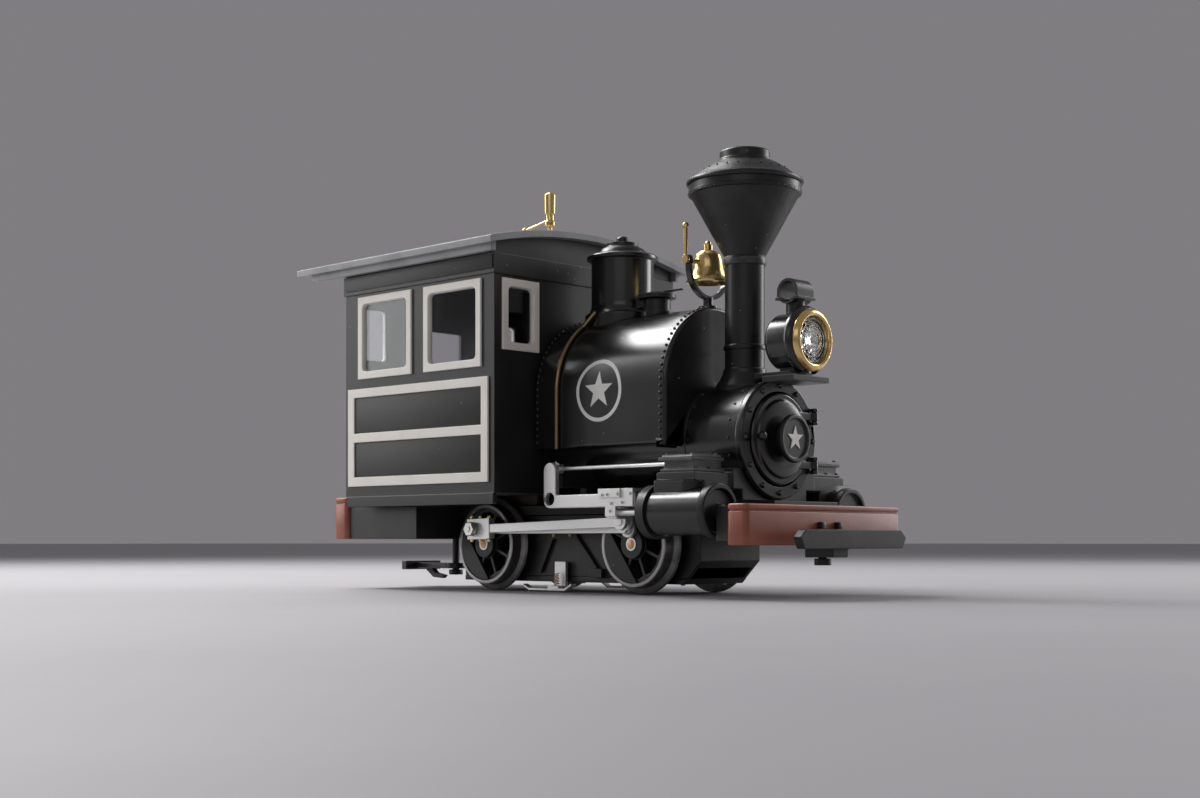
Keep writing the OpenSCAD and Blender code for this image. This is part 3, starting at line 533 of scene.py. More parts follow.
def block(name, x, y, z, coat, r=0.3):
    """A block with rounded corners, between pairs of millimetre limits."""
    mesh = bpy.data.meshes.new(name)
    work = bmesh.new()
    size = Matrix.Diagonal((x[1] - x[0], y[1] - y[0], z[1] - z[0], 1))
    bmesh.ops.create_cube(work, size=MM, matrix=size)
    middle = Vector(((x[0] + x[1]) / 2, (y[0] + y[1]) / 2, (z[0] + z[1]) / 2)) * MM
    bmesh.ops.translate(work, verts=work.verts, vec=middle)
    bmesh.ops.bevel(work, geom=work.edges[:], offset=r * MM, segments=2, affect="EDGES", profile=0.6)
    work.to_mesh(mesh)
    work.free()
    return tidied(mesh, name, coat, 50)


def tube(name, points, r, coat, steps=10):
    """A round bar through points in millimetres, with domed ends."""
    path = [Vector(p) for p in points]
    rings = []
    for i, p in enumerate(path):
        along = (path[min(i + 1, len(path) - 1)] - path[max(i - 1, 0)]).normalized()
        side = along.cross(Vector((0.13, 0.31, 0.94))).normalized()
        up = side.cross(along)
        here = [side * cos(tau * k / steps) + up * sin(tau * k / steps) for k in range(steps)]
        if i == 0:
            rings.append([p - along * r * 0.4] * steps)
            rings.append([p - along * r * 0.3 + d * r * 0.7 for d in here])
        rings.append([p + d * r for d in here])
        if i == len(path) - 1:
            rings.append([p + along * r * 0.3 + d * r * 0.7 for d in here])
            rings.append([p + along * r * 0.4] * steps)
    return lofted(name, rings, coat, angle=60)


# ---- geometry node trees for what repeats ----
def shape_tree(name, inputs):
    if name in bpy.data.node_groups:
        return bpy.data.node_groups[name], None, None
    rows = [("Geometry", "Geometry", None)] + inputs + [("Coat", "Material", None)]
    return group_of(name, "GeometryNodeTree", rows, [("Geometry", "Geometry", None)])


def end_tree(tree, given, result, heads):
    solid = put(tree, "GeometryNodeRealizeInstances", {0: heads})
    soft = put(tree, "GeometryNodeSetShadeSmooth", {0: solid.outputs[0]})
    coated = put(tree, "GeometryNodeSetMaterial", {"Geometry": soft.outputs[0], "Material": given["Coat"]})
    tree.links.new(coated.outputs[0], result["Geometry"])


def rivet_tree():
    """Round rivet heads, evenly along each path."""
    tree, given, result = shape_tree("rivets along a path", [
        ("Rivet Count", "Int", 12), ("Rivet Radius", "Float", 0.0005)])
    if given:
        path = put(tree, "GeometryNodeMeshToCurve", {"Mesh": given["Geometry"]})
        even = put(tree, "GeometryNodeResampleCurve",
                   {"Curve": path.outputs[0], "Count": given["Rivet Count"]}, mode="COUNT")
        head = put(tree, "GeometryNodeMeshUVSphere",
                   {"Segments": 8, "Rings": 6, "Radius": given["Rivet Radius"]})
        heads = put(tree, "GeometryNodeInstanceOnPoints",
                    {"Points": even.outputs[0], "Instance": head.outputs[0]})
        end_tree(tree, given, result, heads.outputs[0])
    return tree


def bolt_tree():
    """Bolt heads of any number of sides, one at each point, all turned alike."""
    tree, given, result = shape_tree("bolt heads", [
        ("Sides", "Int", 6), ("Head Radius", "Float", 0.001), ("Head Height", "Float", 0.001),
        ("Crown", "Float", 0.8), ("Turn", "Vector", (0, 0, 0))])
    if given:
        points = put(tree, "GeometryNodeMeshToPoints", {0: given["Geometry"]})
        top = put(tree, "ShaderNodeMath", {0: given["Head Radius"], 1: given["Crown"]}, operation="MULTIPLY")
        head = put(tree, "GeometryNodeMeshCone", {
            "Vertices": given["Sides"], "Side Segments": 1, "Radius Top": top.outputs[0],
            "Radius Bottom": given["Head Radius"], "Depth": given["Head Height"]})
        turn = put(tree, "FunctionNodeEulerToRotation", {0: given["Turn"]})
        heads = put(tree, "GeometryNodeInstanceOnPoints", {
            "Points": points.outputs[0], "Instance": head.outputs[0], "Rotation": turn.outputs[0]})
        solid = put(tree, "GeometryNodeRealizeInstances", {0: heads.outputs[0]})
        coated = put(tree, "GeometryNodeSetMaterial", {
            "Geometry": solid.outputs[0], "Material": given["Coat"]})
        tree.links.new(coated.outputs[0], result["Geometry"])
    return tree


def spring_tree():
    """A coil spring standing on its base point."""
    tree, given, result = shape_tree("coil spring", [
        ("Turns", "Float", 6.0), ("Coil Radius", "Float", 0.001), ("Height", "Float", 0.004),
        ("Wire Radius", "Float", 0.0002), ("Base", "Vector", (0, 0, 0))])
    if given:
        coil = put(tree, "GeometryNodeCurveSpiral", {
            "Resolution": 14, "Rotations": given["Turns"], "Start Radius": given["Coil Radius"],
            "End Radius": given["Coil Radius"], "Height": given["Height"]})
        wire = put(tree, "GeometryNodeCurvePrimitiveCircle", {
            "Resolution": 6, "Radius": given["Wire Radius"]})
        bar = put(tree, "GeometryNodeCurveToMesh", {
            "Curve": coil.outputs[0], "Profile Curve": wire.outputs[0], "Fill Caps": True})
        placed = put(tree, "GeometryNodeTransform", {
            "Geometry": bar.outputs[0], "Translation": given["Base"]})
        end_tree(tree, given, result, placed.outputs[0])
    return tree


def grown(name, tree, points, edges, values, coat):
    """The plain mesh that a tree makes from a holder mesh of millimetre points and edges."""
    mesh = bpy.data.meshes.new(name)
    mesh.from_pydata([Vector(p) * MM for p in points], edges, [])
    holder = new_object(name + "_work", mesh)
    modifier = holder.modifiers.new("growth", "NODES")
    modifier.node_group = tree
    wanted = dict(values, Coat=finish(coat))
    for item in tree.interface.items_tree:
        if item.item_type == "SOCKET" and item.in_out == "INPUT" and item.name in wanted:
            modifier[item.identifier] = wanted[item.name]
    return baked(holder, name)


def rivets(name, points, count, radius, coat, ring=False):
    edges = [(i, i + 1) for i in range(len(points) - 1)]
    if ring:
        edges.append((len(points) - 1, 0))
    return grown(name, rivet_tree(), points, edges, {"Rivet Count": count, "Rivet Radius": radius}, coat)


TURNS = {"X": (0, pi / 2, 0), "-X": (0, -pi / 2, 0), "Y": (-pi / 2, 0, 0), "-Y": (pi / 2, 0, 0),
         "Z": (0, 0, 0), "-Z": (pi, 0, 0)}


def bolts(name, points, toward, radius, height, coat, sides=6, crown=0.82):
    """Bolt heads that stand on millimetre points and face along an axis."""
    return grown(name, bolt_tree(), points, [], {
        "Sides": sides, "Head Radius": radius * MM, "Head Height": height * MM, "Crown": crown,
        "Turn": TURNS[toward]}, coat)


def circle_points(axis, centre, radius, count, start=0.0, height=0.0):
    place = AXES[axis]
    return [Vector(place(radius, radians(start) + tau * k / count, height)) + Vector(centre)
            for k in range(count)]


def star_outline(radius, steps=3):
    """A plain five point star, with each side cut in steps."""
    corners = [(radius * (1 if k % 2 == 0 else 0.4) * cos(pi / 2 + pi * k / 5),
                radius * (1 if k % 2 == 0 else 0.4) * sin(pi / 2 + pi * k / 5)) for k in range(10)]
    points = []
    for k, a in enumerate(corners):
        b = corners[(k + 1) % 10]
        points += [(a[0] + (b[0] - a[0]) * i / steps, a[1] + (b[1] - a[1]) * i / steps) for i in range(steps)]
    return points


def filled_mark(name, outline, place, lift, sink, coat, cuts=5):
    """A thin raised mark with that outline, whose points place() puts on a surface."""
    rings = []
    for i in range(cuts + 1):
        rings.append([place(u * i / cuts, v * i / cuts, lift) for u, v in outline])
    for i in range(cuts, -1, -1):
        rings.append([place(u * i / cuts, v * i / cuts, sink) for u, v in outline])
    return lofted(name, rings, coat)


def ring_mark(name, outer, inner, place, lift, sink, coat, steps=96):
    def around(r, out):
        return [place(r * cos(tau * k / steps), r * sin(tau * k / steps), out) for k in range(steps)]
    rings = [around(inner, sink), around(inner, lift), around(outer, lift), around(outer, sink)]
    return lofted(name, rings, coat, closed=True)


# ---- the pieces ----
class LocoOperator:
    bl_options = {"REGISTER"}


class LOCO_OT_chassis(LocoOperator, bpy.types.Operator):
    """Chassis, motor block, tray and brake gear"""
    bl_idname = "loco.chassis"
    bl_label = "Chassis"

    def execute(self, context):
        dress([("chassis_frame", "under black", "black_satin", 0.3),
               ("motor_block", "satin black", "black_satin", 0.5),
               ("bottom_cover", "satin black", "black_satin", 0.3),
               ("brake_rigging", "under black", "black_satin", 0.2, "rubbed edge"),
               ("coupler_pins", "under black", "black_satin", 0.2)])
        for node, coat in (("motor_can", "nickel"), ("armature", "copper")):
            frame["nodes"][node].data.materials.clear()
            frame["nodes"][node].data.materials.append(finish(coat))
        heads = []
        for side in SIDES:
            face = side * 18.9
            heads.append(bolts("brake_bolts", [(-5.5, face, 22.4), (3.6, face, 22.4)], OUTWARD[side],
                               0.9, 0.5, "old brass", 12, 0.7))
        settle(joined("brake_bolts", heads), "root")
        cover = [(x, y, 3.95) for x in (-54, 4, 56) for y in (-12, 12)]
        settle(bolts("cover_screws", cover, "-Z", 1.0, 0.5, "nickel", 12, 0.8), "root")
        return {"FINISHED"}


def crank_pin(end, side):
    """X and Z of a crank pin at rest: straight up on the right side, straight back on the left."""
    return (AXLE_X[end], AXLE_Z + CRANK) if side < 0 else (AXLE_X[end] - CRANK, AXLE_Z)


def closed_up(made):
    """Welds the strips of a turned shape into one skin that faces outward."""
    work = bmesh.new()
    work.from_mesh(made.data)
    bmesh.ops.remove_doubles(work, verts=work.verts, dist=0.002 * MM)
    bmesh.ops.recalc_face_normals(work, faces=work.faces)
    work.to_mesh(made.data)
    work.free()
    smooth(made.data, 30)
    return made


class LOCO_OT_wheels(LocoOperator, bpy.types.Operator):
    """Wheel centres, tyres, axles and crank pins"""
    bl_idname = "loco.wheels"
    bl_label = "Wheels"

    def execute(self, context):
        tread = [(14.5, 20.0), (18.4, 20.0), (18.9, 20.6), (18.4, 21.3), (16.5, 22.0), (16.1, 26.2)]
        face = [(16.1, 26.2), (15.85, 26.5), (14.75, 26.55), (14.5, 26.2)]
        bore = [face[-1], tread[0]]
        stub = [(0, 27.6), (1.5, 27.6), (1.9, 27.45), (2.1, 27.0), (2.1, 26.0)]
        for end, x in AXLE_X.items():
            pin = HEAD_Y[end]
            centre = (x, 0, AXLE_Z)
            body = end + "_wheelset"
            softened(end + "_wheel_centres", "satin black", "black_satin", 0.3)
            tyres = []
            for side in SIDES:
                for profile, coat in ((tread, "tread grey"), (face, "tyre nickel"), (bore, "tread grey")):
                    mirrored = [(radius, side * y) for radius, y in profile]
                    tyres.append(turned("tyre", mirrored, "Y", centre, coat, 96))
            made = joined(end + "_tyres_turned", tyres)
            settle(closed_up(made), body, [end + "_tyres"])
            softened(end + "_axle", "nickel", "nickel", 0.15)
            parts = []
            for side in SIDES:
                toward = OUTWARD[side]
                parts.append(turned("axle_end", stub, "Y", centre, "copper", 24))
                if side < 0:
                    for vertex in parts[-1].data.vertices:
                        vertex.co.y = -vertex.co.y
                    parts[-1].data.flip_normals()
                crank = crank_pin(end, side)
                size = 3.3 if end == "rear" else 2.5
                parts.append(bolts("crank_nut", [(crank[0], side * (pin - 0.4), crank[1])], toward,
                                   size, 1.5, "nickel", 6, 0.86))
                parts.append(bolts("crank_end", [(crank[0], side * (pin + 0.6), crank[1])], toward,
                                   1.3, 0.8, "nickel", 16, 0.7))
            settle(joined(end + "_axle_fittings", parts), body)
        return {"FINISHED"}


class LOCO_OT_rods(LocoOperator, bpy.types.Operator):
    """Side rods, main rods, crossheads and guide bars"""
    bl_idname = "loco.rods"
    bl_label = "Rods and crossheads"

    def execute(self, context):
        for hand, side in (("right", -1), ("left", 1)):
            for part in ("side_rod_", "main_rod_", "crosshead_"):
                softened(part + hand, "nickel", "nickel", 0.22)
            crank = crank_pin("rear", side)
            rows = [(crank[0] + x, side * 31.6, crank[1] + 4.3) for x in (-2.2, 2.9, 8.0)]
            under = [(x, y, z - 8.4) for x, y, z in rows]
            ends = [bolts("above", rows, "Z", 0.8, 1.0, "brass", 6),
                    bolts("below", under, "-Z", 0.8, 1.0, "brass", 6)]
            settle(joined("big_end_bolts_" + hand, ends), body_of("main_rod_" + hand))
            pin_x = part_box("crosshead_" + hand)[0].x / MM + 5.1
            raised = [(-3.3, 36.9), (-0.6, 37.0), (4.6, 37.2)]
            plate = [(10.2, 37.3), (0.8, 33.8), (6.2, 34.1), (0.2, 31.0)]
            spots = [(pin_x + dx, side * 42.1, z) for dx, z in raised]
            spots += [(pin_x + dx, side * 41.4, z) for dx, z in plate]
            settle(bolts("crosshead_bolts_" + hand, spots, OUTWARD[side], 0.62, 0.7, "nickel", 6),
                   body_of("crosshead_" + hand))
        softened("guide_bars", "nickel", "nickel", 0.5)
        return {"FINISHED"}


class LOCO_OT_cylinders(LocoOperator, bpy.types.Operator):
    """Cylinders, covers, saddle and steam chests"""
    bl_idname = "loco.cylinders"
    bl_label = "Cylinders"

    def execute(self, context):
        dress([("cylinders", "gloss black", "black_gloss", 0.25),
               ("cylinder_saddle", "satin black", "black_satin", 0.5, "rubbed edge"),
               ("steam_chests", "worn grey", "grey_worn", 0.4, "chest cap grey")])
        parts = []
        front = [(0.0, 96.0), (1.0, 96.0), (1.0, 97.1), (1.4, 97.4), (2.2, 97.3), (2.6, 96.8), (2.7, 95.4),
                 (3.0, 95.2), (7.3, 95.2), (7.6, 95.5), (7.7, 96.2), (8.1, 96.5), (9.1, 96.5), (9.6, 96.1),
                 (9.7, 95.5), (9.7, 93.5), (0.0, 93.5)]
        rear = [(1.3, 68.7), (1.3, 64.0), (2.9, 63.9), (3.2, 64.2), (3.2, 64.5), (9.2, 64.5), (9.7, 65.0),
                (9.7, 68.7)]
        for side in SIDES:
            centre = (0, side * CYLINDER_Y, CYLINDER_Z)
            parts.append(turned("cover", front, "X", centre, "satin black", 64, False, 30))
            parts.append(turned("rear_cover", rear, "X", centre, "satin black", 64, True, 30))
        settle(joined("cylinder_covers_turned", parts), "root", ["cylinder_covers"])
        heads = []
        caps = [(x, side * y, 50.2) for side in SIDES for x in (74.4, 85.9) for y in (28.8, 41.5)]
        heads.append(bolts("caps", caps, "Z", 0.8, 0.7, "lip grey", 6))
        foot = [(x, side * y, 45.35) for side in SIDES for x in (72.5, 87.5) for y in (28.0, 34.5, 41.0)]
        heads.append(bolts("feet", foot, "Z", 0.6, 0.6, "worn grey", 6))
        settle(joined("chest_bolts", heads), "root")
        return {"FINISHED"}


def beam_loft(name, x0, x1, z0, z1, corner, groove):
    """A buffer beam with rounded upright corners and a groove all round below its top."""
    rings = []

    def level(z, inset):
        half = BEAM_HALF - inset
        outline = rounded_rect(x0 + inset, x1 - inset, -half, half, corner - inset, 6)
        rings.append([(x, y, z) for x, y in outline])
    middle = ((x0 + x1) / 2, 0)
    count = len(rounded_rect(0, 9, 0, 9, 1, 6))
    rings.append([(*middle, z0)] * count)
    foot = ((0.0, 0.5), (0.15, 0.15), (0.5, 0.0))
    cut = ((-0.7, 0.0), (-0.45, 0.15), (-0.35, 0.5), (0.15, 0.5), (0.25, 0.15), (0.5, 0.0))
    top = ((-0.5, 0.0), (-0.15, 0.15), (0.0, 0.5))
    for z, steps in ((z0, foot), (groove, cut), (z1, top)):
        for rise, inset in steps:
            level(z + rise, inset)
    rings.append([(*middle, z1)] * count)
    made = lofted(name, rings, "beam red", angle=50)
    # The rounded top edge of the beam takes the paler red: rubbed paint and a painted highlight.
    made.data.materials.append(finish("beam edge and painted highlight"))
    for face in made.data.polygons:
        if face.center.z > (z1 - 0.4) * MM and face.normal.z < 0.9:
            face.material_index = 1
    return made


class LOCO_OT_beams(LocoOperator, bpy.types.Operator):
    """Buffer beams and couplers"""
    bl_idname = "loco.beams"
    bl_label = "Buffer beams and couplers"

    def execute(self, context):
        parts = [beam_loft("front", 104.3, 113.3, 18.6, 32.8, 2.0, 30.6),
                 beam_loft("rear", -113.1, -104.0, 20.9, 38.6, 2.0, 36.4)]
        settle(joined("buffer_beams_painted", parts), "root", ["buffer_beams"])
        dress([("front_coupler", "satin black", "black_satin", 0.45),
               ("rear_coupler", "satin black", "black_satin", 0.3, "rubbed edge")])
        lugs = [block("lug", (113.0, 115.4), (y - 1.1, y + 1.1), (24.4, 26.8), "satin black")
                for y in (-5, 5)]
        settle(joined("beam_lugs", lugs), "root")
        return {"FINISHED"}


class LOCO_OT_smokebox(LocoOperator, bpy.types.Operator):
    """Boiler, smokebox, its door, bolts and front plate"""
    bl_idname = "loco.smokebox"
    bl_label = "Boiler and smokebox"

    def execute(self, context):
        sizes = context.scene.loco_sizes
        dress([("boiler", "gloss black", "black_gloss", 0.2),
               ("smokebox_barrel", "gloss black", "black_gloss", 0.3),
               ("smokebox_ring", "gloss black", "black_gloss", 0.3),
               ("smokebox_door", "gloss black", "black_gloss", 0.3),
               ("number_plate", "satin black", "black_satin", 0.25)])
        ring = circle_points("X", (RING_FACE_X - 0.05, 0, BOILER_Z), 19.5, 12)
        heads = [bolts("ring", ring, "X", 1.15, 1.0, "rivet black", 12, 0.6)]
        for x in (66.0, 85.0):
            arc = circle_points("X", (x, 0, BOILER_Z), 21.0, 20)
            arc = [p for p in arc if p.z > 47]
            for p in arc:
                out = Vector((0, p.y, p.z - BOILER_Z)).normalized()
                spot = turned("rivet", [(0, 0.45), (0.45, 0.34), (0.65, 0.0), (0.65, -0.3)], "Z", (0, 0, 0),
                              "rivet black", 8)
                turn = out.to_track_quat("Z", "Y").to_matrix().to_4x4()
                spot.data.transform(Matrix.Translation(p * MM) @ turn)
                heads.append(spot)
        settle(joined("smokebox_rivets", heads), "root")
        face = RING_FACE_X + 6.95

        def on_plate(u, v, lift):
            return (face + lift, u, BOILER_Z + v)
        outline = star_outline(sizes.plate_star / MM, 1)
        star = filled_mark("plate_star", outline, on_plate, 0.22, -0.2, "mark white", 2)
        settle(star, "door")
        return {"FINISHED"}


def tank_point(x, side, z, lift=0.0):
    """A point on the tank's side or arch at height z, lifted off the surface."""
    rise = max(z - TANK_ARCH_Z, 0.0)
    reach = sqrt(max(TANK_R ** 2 - rise ** 2, 0.0))
    out = Vector((0, side * reach, rise)).normalized() * lift if rise else Vector((0, side * lift, 0))
    return Vector((x, side * reach, z)) + out


class LOCO_OT_tank(LocoOperator, bpy.types.Operator):
    """Saddle tank with its rivet rows, dome, filler and pipes"""
    bl_idname = "loco.tank"
    bl_label = "Saddle tank"

    def execute(self, context):
        sizes = context.scene.loco_sizes
        dress([("saddle_tank", "gloss black", "black_gloss", 1.3, None, 34, 4),
               ("steam_dome", "gloss black", "black_gloss", 0.2),
               ("dome_cap", "satin black", "black_satin", 0.25, "rubbed edge"),
               ("side_pipes", "pipe brown", "pipe_brown", 0.12),
               ("filler_neck", "satin black", "black_satin", 0.25),
               ("filler_lid", "satin black", "black_satin", 0.25, "rubbed edge")])
        heads = []
        for x in TANK_ROWS_X:
            low = [(x, -TANK_R - 0.05, z) for z in (TANK_LOW_Z, TANK_ARCH_Z)]
            arch = [(x, -(TANK_R + 0.05) * cos(pi * k / 64), TANK_ARCH_Z + (TANK_R + 0.05) * sin(pi * k / 64))
                    for k in range(1, 64)]
            path = low + arch + [(x, -y, z) for x, y, z in reversed(low)]
            run = pi * TANK_R + 2 * (TANK_ARCH_Z - TANK_LOW_Z)
            count = floor(run * MM / sizes.tank_rivet_pitch) + 1
            heads.append(rivets("row", path, count, sizes.tank_rivet, "rivet black"))
        settle(joined("tank_rivets", heads), "root")
        return {"FINISHED"}


class LOCO_OT_roundel(LocoOperator, bpy.types.Operator):
    """White ring and plain star on each side of the tank"""
    bl_idname = "loco.roundel"
    bl_label = "Tank roundels"

    def execute(self, context):
        sizes = context.scene.loco_sizes
        marks = []
        for side in SIDES:
            def on_tank(u, v, lift, side=side):
                return tank_point(29.7 + u, side, 76.7 + v, lift)
            outer = sizes.roundel_radius / MM
            inner = outer - sizes.roundel_line / MM
            marks.append(ring_mark("ring", outer, inner, on_tank, 0.05, -0.25, "mark white"))
            marks.append(filled_mark("star", star_outline(sizes.star_radius / MM), on_tank, 0.05, -0.25,
                                     "mark white"))
        settle(joined("tank_roundels", marks), "root")
        return {"FINISHED"}


class LOCO_OT_chimney(LocoOperator, bpy.types.Operator):
    """Balloon chimney with its riveted band and cap"""
    bl_idname = "loco.chimney"
    bl_label = "Chimney"

    def execute(self, context):
        sizes = context.scene.loco_sizes
        dress([("stack_pipe", "satin black", "black_satin", 0.2),
               ("stack_cone", "cast black", "black_satin", 0.15),
               ("stack_cap", "satin black", "black_satin", 0.15)])
        rows = []
        for r, z, count, share in ((20.75, 148.3, 44, 1.0), (15.9, 156.75, 24, 0.8)):
            path = circle_points("Z", (CHIMNEY_X, 0, z), r, 128)
            rows.append(rivets("row", path, count, sizes.small_rivet * share, "satin black", True))
        band = [(20.2, 147.6), (20.9, 147.7), (21.0, 148.0), (21.0, 148.9), (20.75, 149.1), (20.75, 151.2),
                (20.2, 151.3)]
        rows.append(turned("band", band, "Z", (CHIMNEY_X, 0, 0), "satin black", 96, True))
        # The collar is all in the paler edge coat: rubbed paint and a painted highlight.
        collar = [(7.3, 121.6), (7.8, 121.65), (7.95, 121.9), (7.95, 124.0), (7.8, 124.3), (7.3, 124.4)]
        rows.append(turned("collar", collar, "Z", (CHIMNEY_X, 0, 0), "rubbed edge", 64, True))
        settle(joined("chimney_bands", rows), "root")
        return {"FINISHED"}


class LOCO_OT_bell(LocoOperator, bpy.types.Operator):
    """Bell, clapper and yoke"""
    bl_idname = "loco.bell"
    bl_label = "Bell"

    def execute(self, context):
        dress([("bell_stand", "gloss black", "black_gloss", 0.25, "rubbed edge"),
               ("bell", "brass", "brass", 0.15),
               ("bell_clapper", "old brass", "brass", 0.1)])
        return {"FINISHED"}


class LOCO_OT_lamp(LocoOperator, bpy.types.Operator):
    """Headlamp with its ringed lens and reflector"""
    bl_idname = "loco.lamp"
    bl_label = "Headlamp"

    def execute(self, context):
        dress([("lamp_platform", "satin black", "black_satin", 0.25, "rubbed edge"),
               ("lamp_body", "gloss black", "black_gloss", 0.2),
               ("lamp_bezel", "brass", "brass", 0.15),
               ("lamp_chimney", "satin black", "black_satin", 0.2, "rubbed edge")])
        rings = context.scene.loco_sizes.lens_rings
        profile = [(0.0, LAMP_X - 1.4)]
        steps = rings * 6
        for k in range(steps + 1):
            r = 8.5 * k / steps
            crown = 1.7 * (1 - (r / 9.4) ** 2)
            ridge = 0.42 * abs(sin(pi * rings * k / steps))
            profile.append((r, LAMP_X - 0.5 + crown + (ridge if r > 1.4 else 0.25)))
        profile += [(9.2, LAMP_X - 0.3), (9.2, LAMP_X - 1.4), (0.0, LAMP_X - 1.4)]
        lens = turned("lamp_lens_ringed", profile[1:], "X", (0, 0, LAMP_Z), "lens clear", 72, False, 60)
        settle(lens, "root", ["lamp_lens"])
        bowl = [(0.0, 95.6)] + [(9.15 * k / 12, 95.6 + 8.2 * (k / 12) ** 2) for k in range(1, 13)]
        bowl += [(9.25, 103.8), (9.25, 94.6), (0.0, 94.6)]
        settle(turned("lamp_reflector", bowl, "X", (0, 0, LAMP_Z), "chrome", 64), "root")
        frame["nodes"]["lamp_bulb"].data.materials.clear()
        frame["nodes"]["lamp_bulb"].data.materials.append(finish("lens clear"))
        return {"FINISHED"}


class LOCO_OT_cab(LocoOperator, bpy.types.Operator):
    """Cab walls, floor, roof, panel frames and whistle"""
    bl_idname = "loco.cab"
    bl_label = "Cab"

    def execute(self, context):
        dress([("cab_body", "cab black", "black_satin", 0.25, "rubbed edge"),
               ("cab_floor", "floor brown", "floor_brown", 0.2),
               ("cab_roof", "roof grey", "roof_grey", 0.3),
               ("panel_frames", "trim white", "white_trim", 0.18),
               ("whistle", "brass", "brass", 0.12)])
        parts = []
        for side in SIDES:
            def on_wall(name, x, out, thick, z, side=side):
                limits = sorted((side * (CAB_HALF + out), side * (CAB_HALF + out + thick)))
                parts.append(block(name, x, limits, z, "panel black", 0.1))
            on_wall("step", (CAB_BACK + 1, CAB_FRONT), 0.7, 0.35, (124.2, 129.6))
            for z in PANELS_Z:
                on_wall("panel", PANELS_X, 0.0, 0.3, z)
        settle(joined("cab_panels", parts), "root")
        return {"FINISHED"}


def framed(name, rect, out, place):
    """A flat window frame with rounded inner corners, on the plane that place() gives."""
    x0, x1, z0, z1 = rect
    w = WINDOW_RIM

    def loop(inset, r, depth):
        outline = rounded_rect(x0 + inset, x1 - inset, z0 + inset, z1 - inset, r)
        return [place(u, v, depth) for u, v in outline]
    rings = [loop(w + 0.25, 1.9, -1.7), loop(w, 2.1, out - 0.25), loop(w - 0.25, 2.3, out),
             loop(0.2, 0.0, out), loop(0.0, 0.0, out - 0.2), loop(0.0, 0.0, -0.15), loop(w - 0.3, 1.0, -0.15),
             loop(w - 0.3, 1.0, -1.7)]
    return lofted(name, rings, "trim white", closed=True)


class LOCO_OT_windows(LocoOperator, bpy.types.Operator):
    """Window frames and panes"""
    bl_idname = "loco.windows"
    bl_label = "Windows"

    def execute(self, context):
        frames = []
        for side in SIDES:
            def on_side(u, v, out, side=side):
                return (u, side * (CAB_HALF + out), v)
            for x0, x1 in SIDE_WINDOWS_X:
                frames.append(framed("frame", (x0, x1, *SIDE_WINDOWS_Z), 0.85, on_side))
            for x, way in ((CAB_FRONT, 1), (CAB_BACK, -1)):
                def on_end(u, v, out, side=side, x=x, way=way):
                    return (x + way * out, side * u, v)
                frames.append(framed("frame", END_WINDOW, 0.85, on_end))
        settle(joined("window_frames_rounded", frames), "root", ["window_frames"])
        softened("window_glass", "window clear", "window_clear", 0.0)
        return {"FINISHED"}


class LOCO_OT_footplate(LocoOperator, bpy.types.Operator):
    """Backhead with gauges, valves and levers"""
    bl_idname = "loco.footplate"
    bl_label = "Backhead fittings"

    def execute(self, context):
        softened("backhead", "satin black", "black_satin", 0.3, "rubbed edge")
        x = CAB_FRONT - 7.4
        parts = []
        for y in (-6, 6):
            rim = [(0, -0.2), (3.0, -0.2), (3.1, -0.4), (3.1, -1.2), (2.6, -1.4), (2.5, -0.9), (0, -0.9)]
            parts.append(turned("rim", rim, "X", (x + 0.2, y, 70), "brass", 32))
            dial = [(0, -1.0), (2.5, -1.0), (2.5, -0.8), (0, -0.8)]
            parts.append(turned("dial", dial, "X", (x + 0.2, y, 70), "dial white", 32))
        for y in (-11, 11):
            parts.append(tube("gauge_glass", [(x - 0.6, y, 56), (x - 0.6, y, 67)], 0.9, "brass", 8))
            for z in (58, 65):
                parts.append(tube("tap", [(x + 0.6, y, z), (x - 2.4, y, z)], 0.6, "brass", 8))
        handle = [(x - 1.6, 0, 64), (x - 2.2, -4, 66), (x - 2.6, -9, 70)]
        parts.append(tube("regulator", handle, 0.6, "nickel", 8))
        hub = [(0, -2.4), (1.6, -2.2), (1.8, 0.4), (0, 0.4)]
        parts.append(turned("hub", hub, "X", (x + 0.8, 0, 64), "brass", 20))
        parts.append(tube("pipe", [(x + 0.4, 6, 73), (x - 0.6, 8, 84), (x + 0.6, 14, 100)], 0.5, "copper", 8))
        parts.append(tube("reverser", [(-20, -17, 40.4), (-24, -17, 62)], 0.8, "nickel", 8))
        settle(joined("backhead_fittings", parts), "root")
        return {"FINISHED"}


class LOCO_OT_pickups(LocoOperator, bpy.types.Operator):
    """Sprung pickup shoes"""
    bl_idname = "loco.pickups"
    bl_label = "Pickup shoes"

    def execute(self, context):
        for hand, side in (("right", -1), ("left", 1)):
            node = "pickup_shoe_" + hand
            softened(node, "nickel", "nickel", 0.12)
            coil = grown("pickup_spring_" + hand, spring_tree(), [(0, 0, 0)], [], {
                "Turns": 5.0, "Coil Radius": 0.9 * MM, "Height": 5.0 * MM, "Wire Radius": 0.2 * MM,
                "Base": (-1.0 * MM, side * 21.9 * MM, 2.6 * MM)}, "copper")
            settle(coil, body_of(node))
        return {"FINISHED"}


# ---- stage ----
VIEW_TURN = 43.93
EYE = (0.4593, -0.4752, 0.0200)
LENS_MM = 49.395
RISE = 0.1186
AIM = Vector((0.0, 0.0, 0.075))


def from_view(right, forward, up):
    """A point by its distances to the right of the model, behind it and above it, as the camera sees it."""
    a = radians(VIEW_TURN)
    across, away = Vector((cos(a), sin(a), 0)), Vector((-sin(a), cos(a), 0))
    return AIM + across * right + away * forward + Vector((0, 0, up))


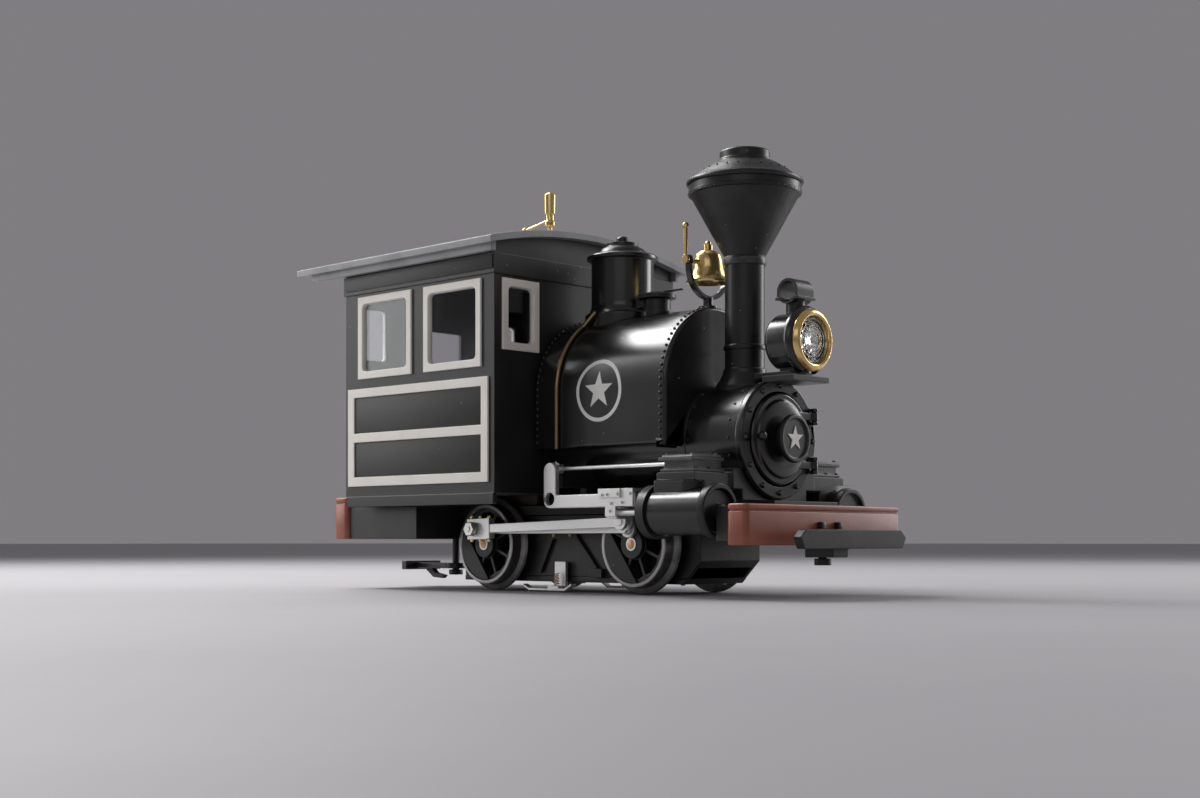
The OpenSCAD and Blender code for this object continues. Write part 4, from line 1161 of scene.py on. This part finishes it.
def softbox(name, place, target, width, height, power, tone=(1, 1, 1)):
    light = bpy.data.lights.new(name, "AREA")
    light.shape = "RECTANGLE"
    light.size, light.size_y = width, height
    light.energy = power * bpy.context.scene.loco_sizes.light
    light.color = tone
    made = new_object(name, light)
    made.location = place
    made.rotation_euler = (target - place).to_track_quat("-Z", "Y").to_euler()
    made.visible_camera = False
    return made


class LOCO_OT_stage(LocoOperator, bpy.types.Operator):
    """Pale floor, soft studio light and the camera"""
    bl_idname = "loco.stage"
    bl_label = "Stage"

    def execute(self, context):
        scene = context.scene
        mesh = bpy.data.meshes.new("floor")
        half = 12.0
        corners = [(-half, -half, 0), (half, -half, 0), (half, half, 0), (-half, half, 0)]
        mesh.from_pydata(corners, [], [(0, 1, 2, 3)])
        mesh.materials.append(finish("floor pale"))
        new_object("floor", mesh)
        world = bpy.data.worlds.new("studio")
        world.use_nodes = True
        shade = world.node_tree.nodes["Background"]
        shade.inputs["Color"].default_value = (0.60, 0.57, 0.61, 1)
        shade.inputs["Strength"].default_value = 0.36
        scene.world = world
        softbox("overhead", from_view(-0.42, 0.42, 0.75), AIM, 0.8, 0.5, 6.5)
        softbox("left side", from_view(-1.0, 0.25, 0.35), AIM, 0.4, 0.7, 3.2)
        softbox("right side", from_view(0.95, 0.45, 0.35), AIM, 0.4, 0.8, 5.0)
        softbox("front fill", from_view(-0.25, -1.3, 0.55), AIM, 0.9, 0.5, 0.9)
        softbox("tank glow", AIM + Vector((-0.69, -0.125, 0.71)), AIM, 0.35, 0.35, 5)
        camera = bpy.data.cameras.new("camera")
        camera.lens = LENS_MM
        camera.sensor_width = 36.0
        camera.shift_y = RISE
        camera.clip_start, camera.clip_end = 0.01, 100.0
        made = new_object("camera", camera)
        made.location = EYE
        made.rotation_euler = (pi / 2, 0, radians(VIEW_TURN))
        scene.camera = made
        scene.view_settings.view_transform = "Standard"
        return {"FINISHED"}


ORDER = (LOCO_OT_chassis, LOCO_OT_wheels, LOCO_OT_rods, LOCO_OT_cylinders, LOCO_OT_beams, LOCO_OT_smokebox,
         LOCO_OT_tank, LOCO_OT_roundel, LOCO_OT_chimney, LOCO_OT_bell, LOCO_OT_lamp, LOCO_OT_cab,
         LOCO_OT_windows, LOCO_OT_footplate, LOCO_OT_pickups, LOCO_OT_stage)


class LOCO_PT_panel(bpy.types.Panel):
    """Lists the locomotive's pieces, colours and sizes"""
    bl_idname = "LOCO_PT_panel"
    bl_label = "Locomotive"
    bl_space_type = "VIEW_3D"
    bl_region_type = "UI"
    bl_category = "Locomotive"

    def draw(self, context):
        column = self.layout.column(align=True)
        for operator in ORDER:
            column.operator(operator.bl_idname)
        for group in (context.scene.loco_colours, context.scene.loco_sizes):
            part = self.layout.column()
            for key in group.bl_rna.properties.keys():
                if key not in ("name", "rna_type"):
                    part.prop(group, key)


CLASSES = (LocoColours, LocoSizes) + ORDER + (LOCO_PT_panel,)


def register():
    for one in CLASSES:
        bpy.utils.register_class(one)
    bpy.types.Scene.loco_colours = bpy.props.PointerProperty(type=LocoColours)
    bpy.types.Scene.loco_sizes = bpy.props.PointerProperty(type=LocoSizes)


def unregister():
    del bpy.types.Scene.loco_sizes
    del bpy.types.Scene.loco_colours
    for one in reversed(CLASSES):
        bpy.utils.unregister_class(one)


def main():
    register()
    for operator in ORDER:
        category, action = operator.bl_idname.split(".")
        getattr(getattr(bpy.ops, category), action)()


if __name__ == "__main__":
    main()
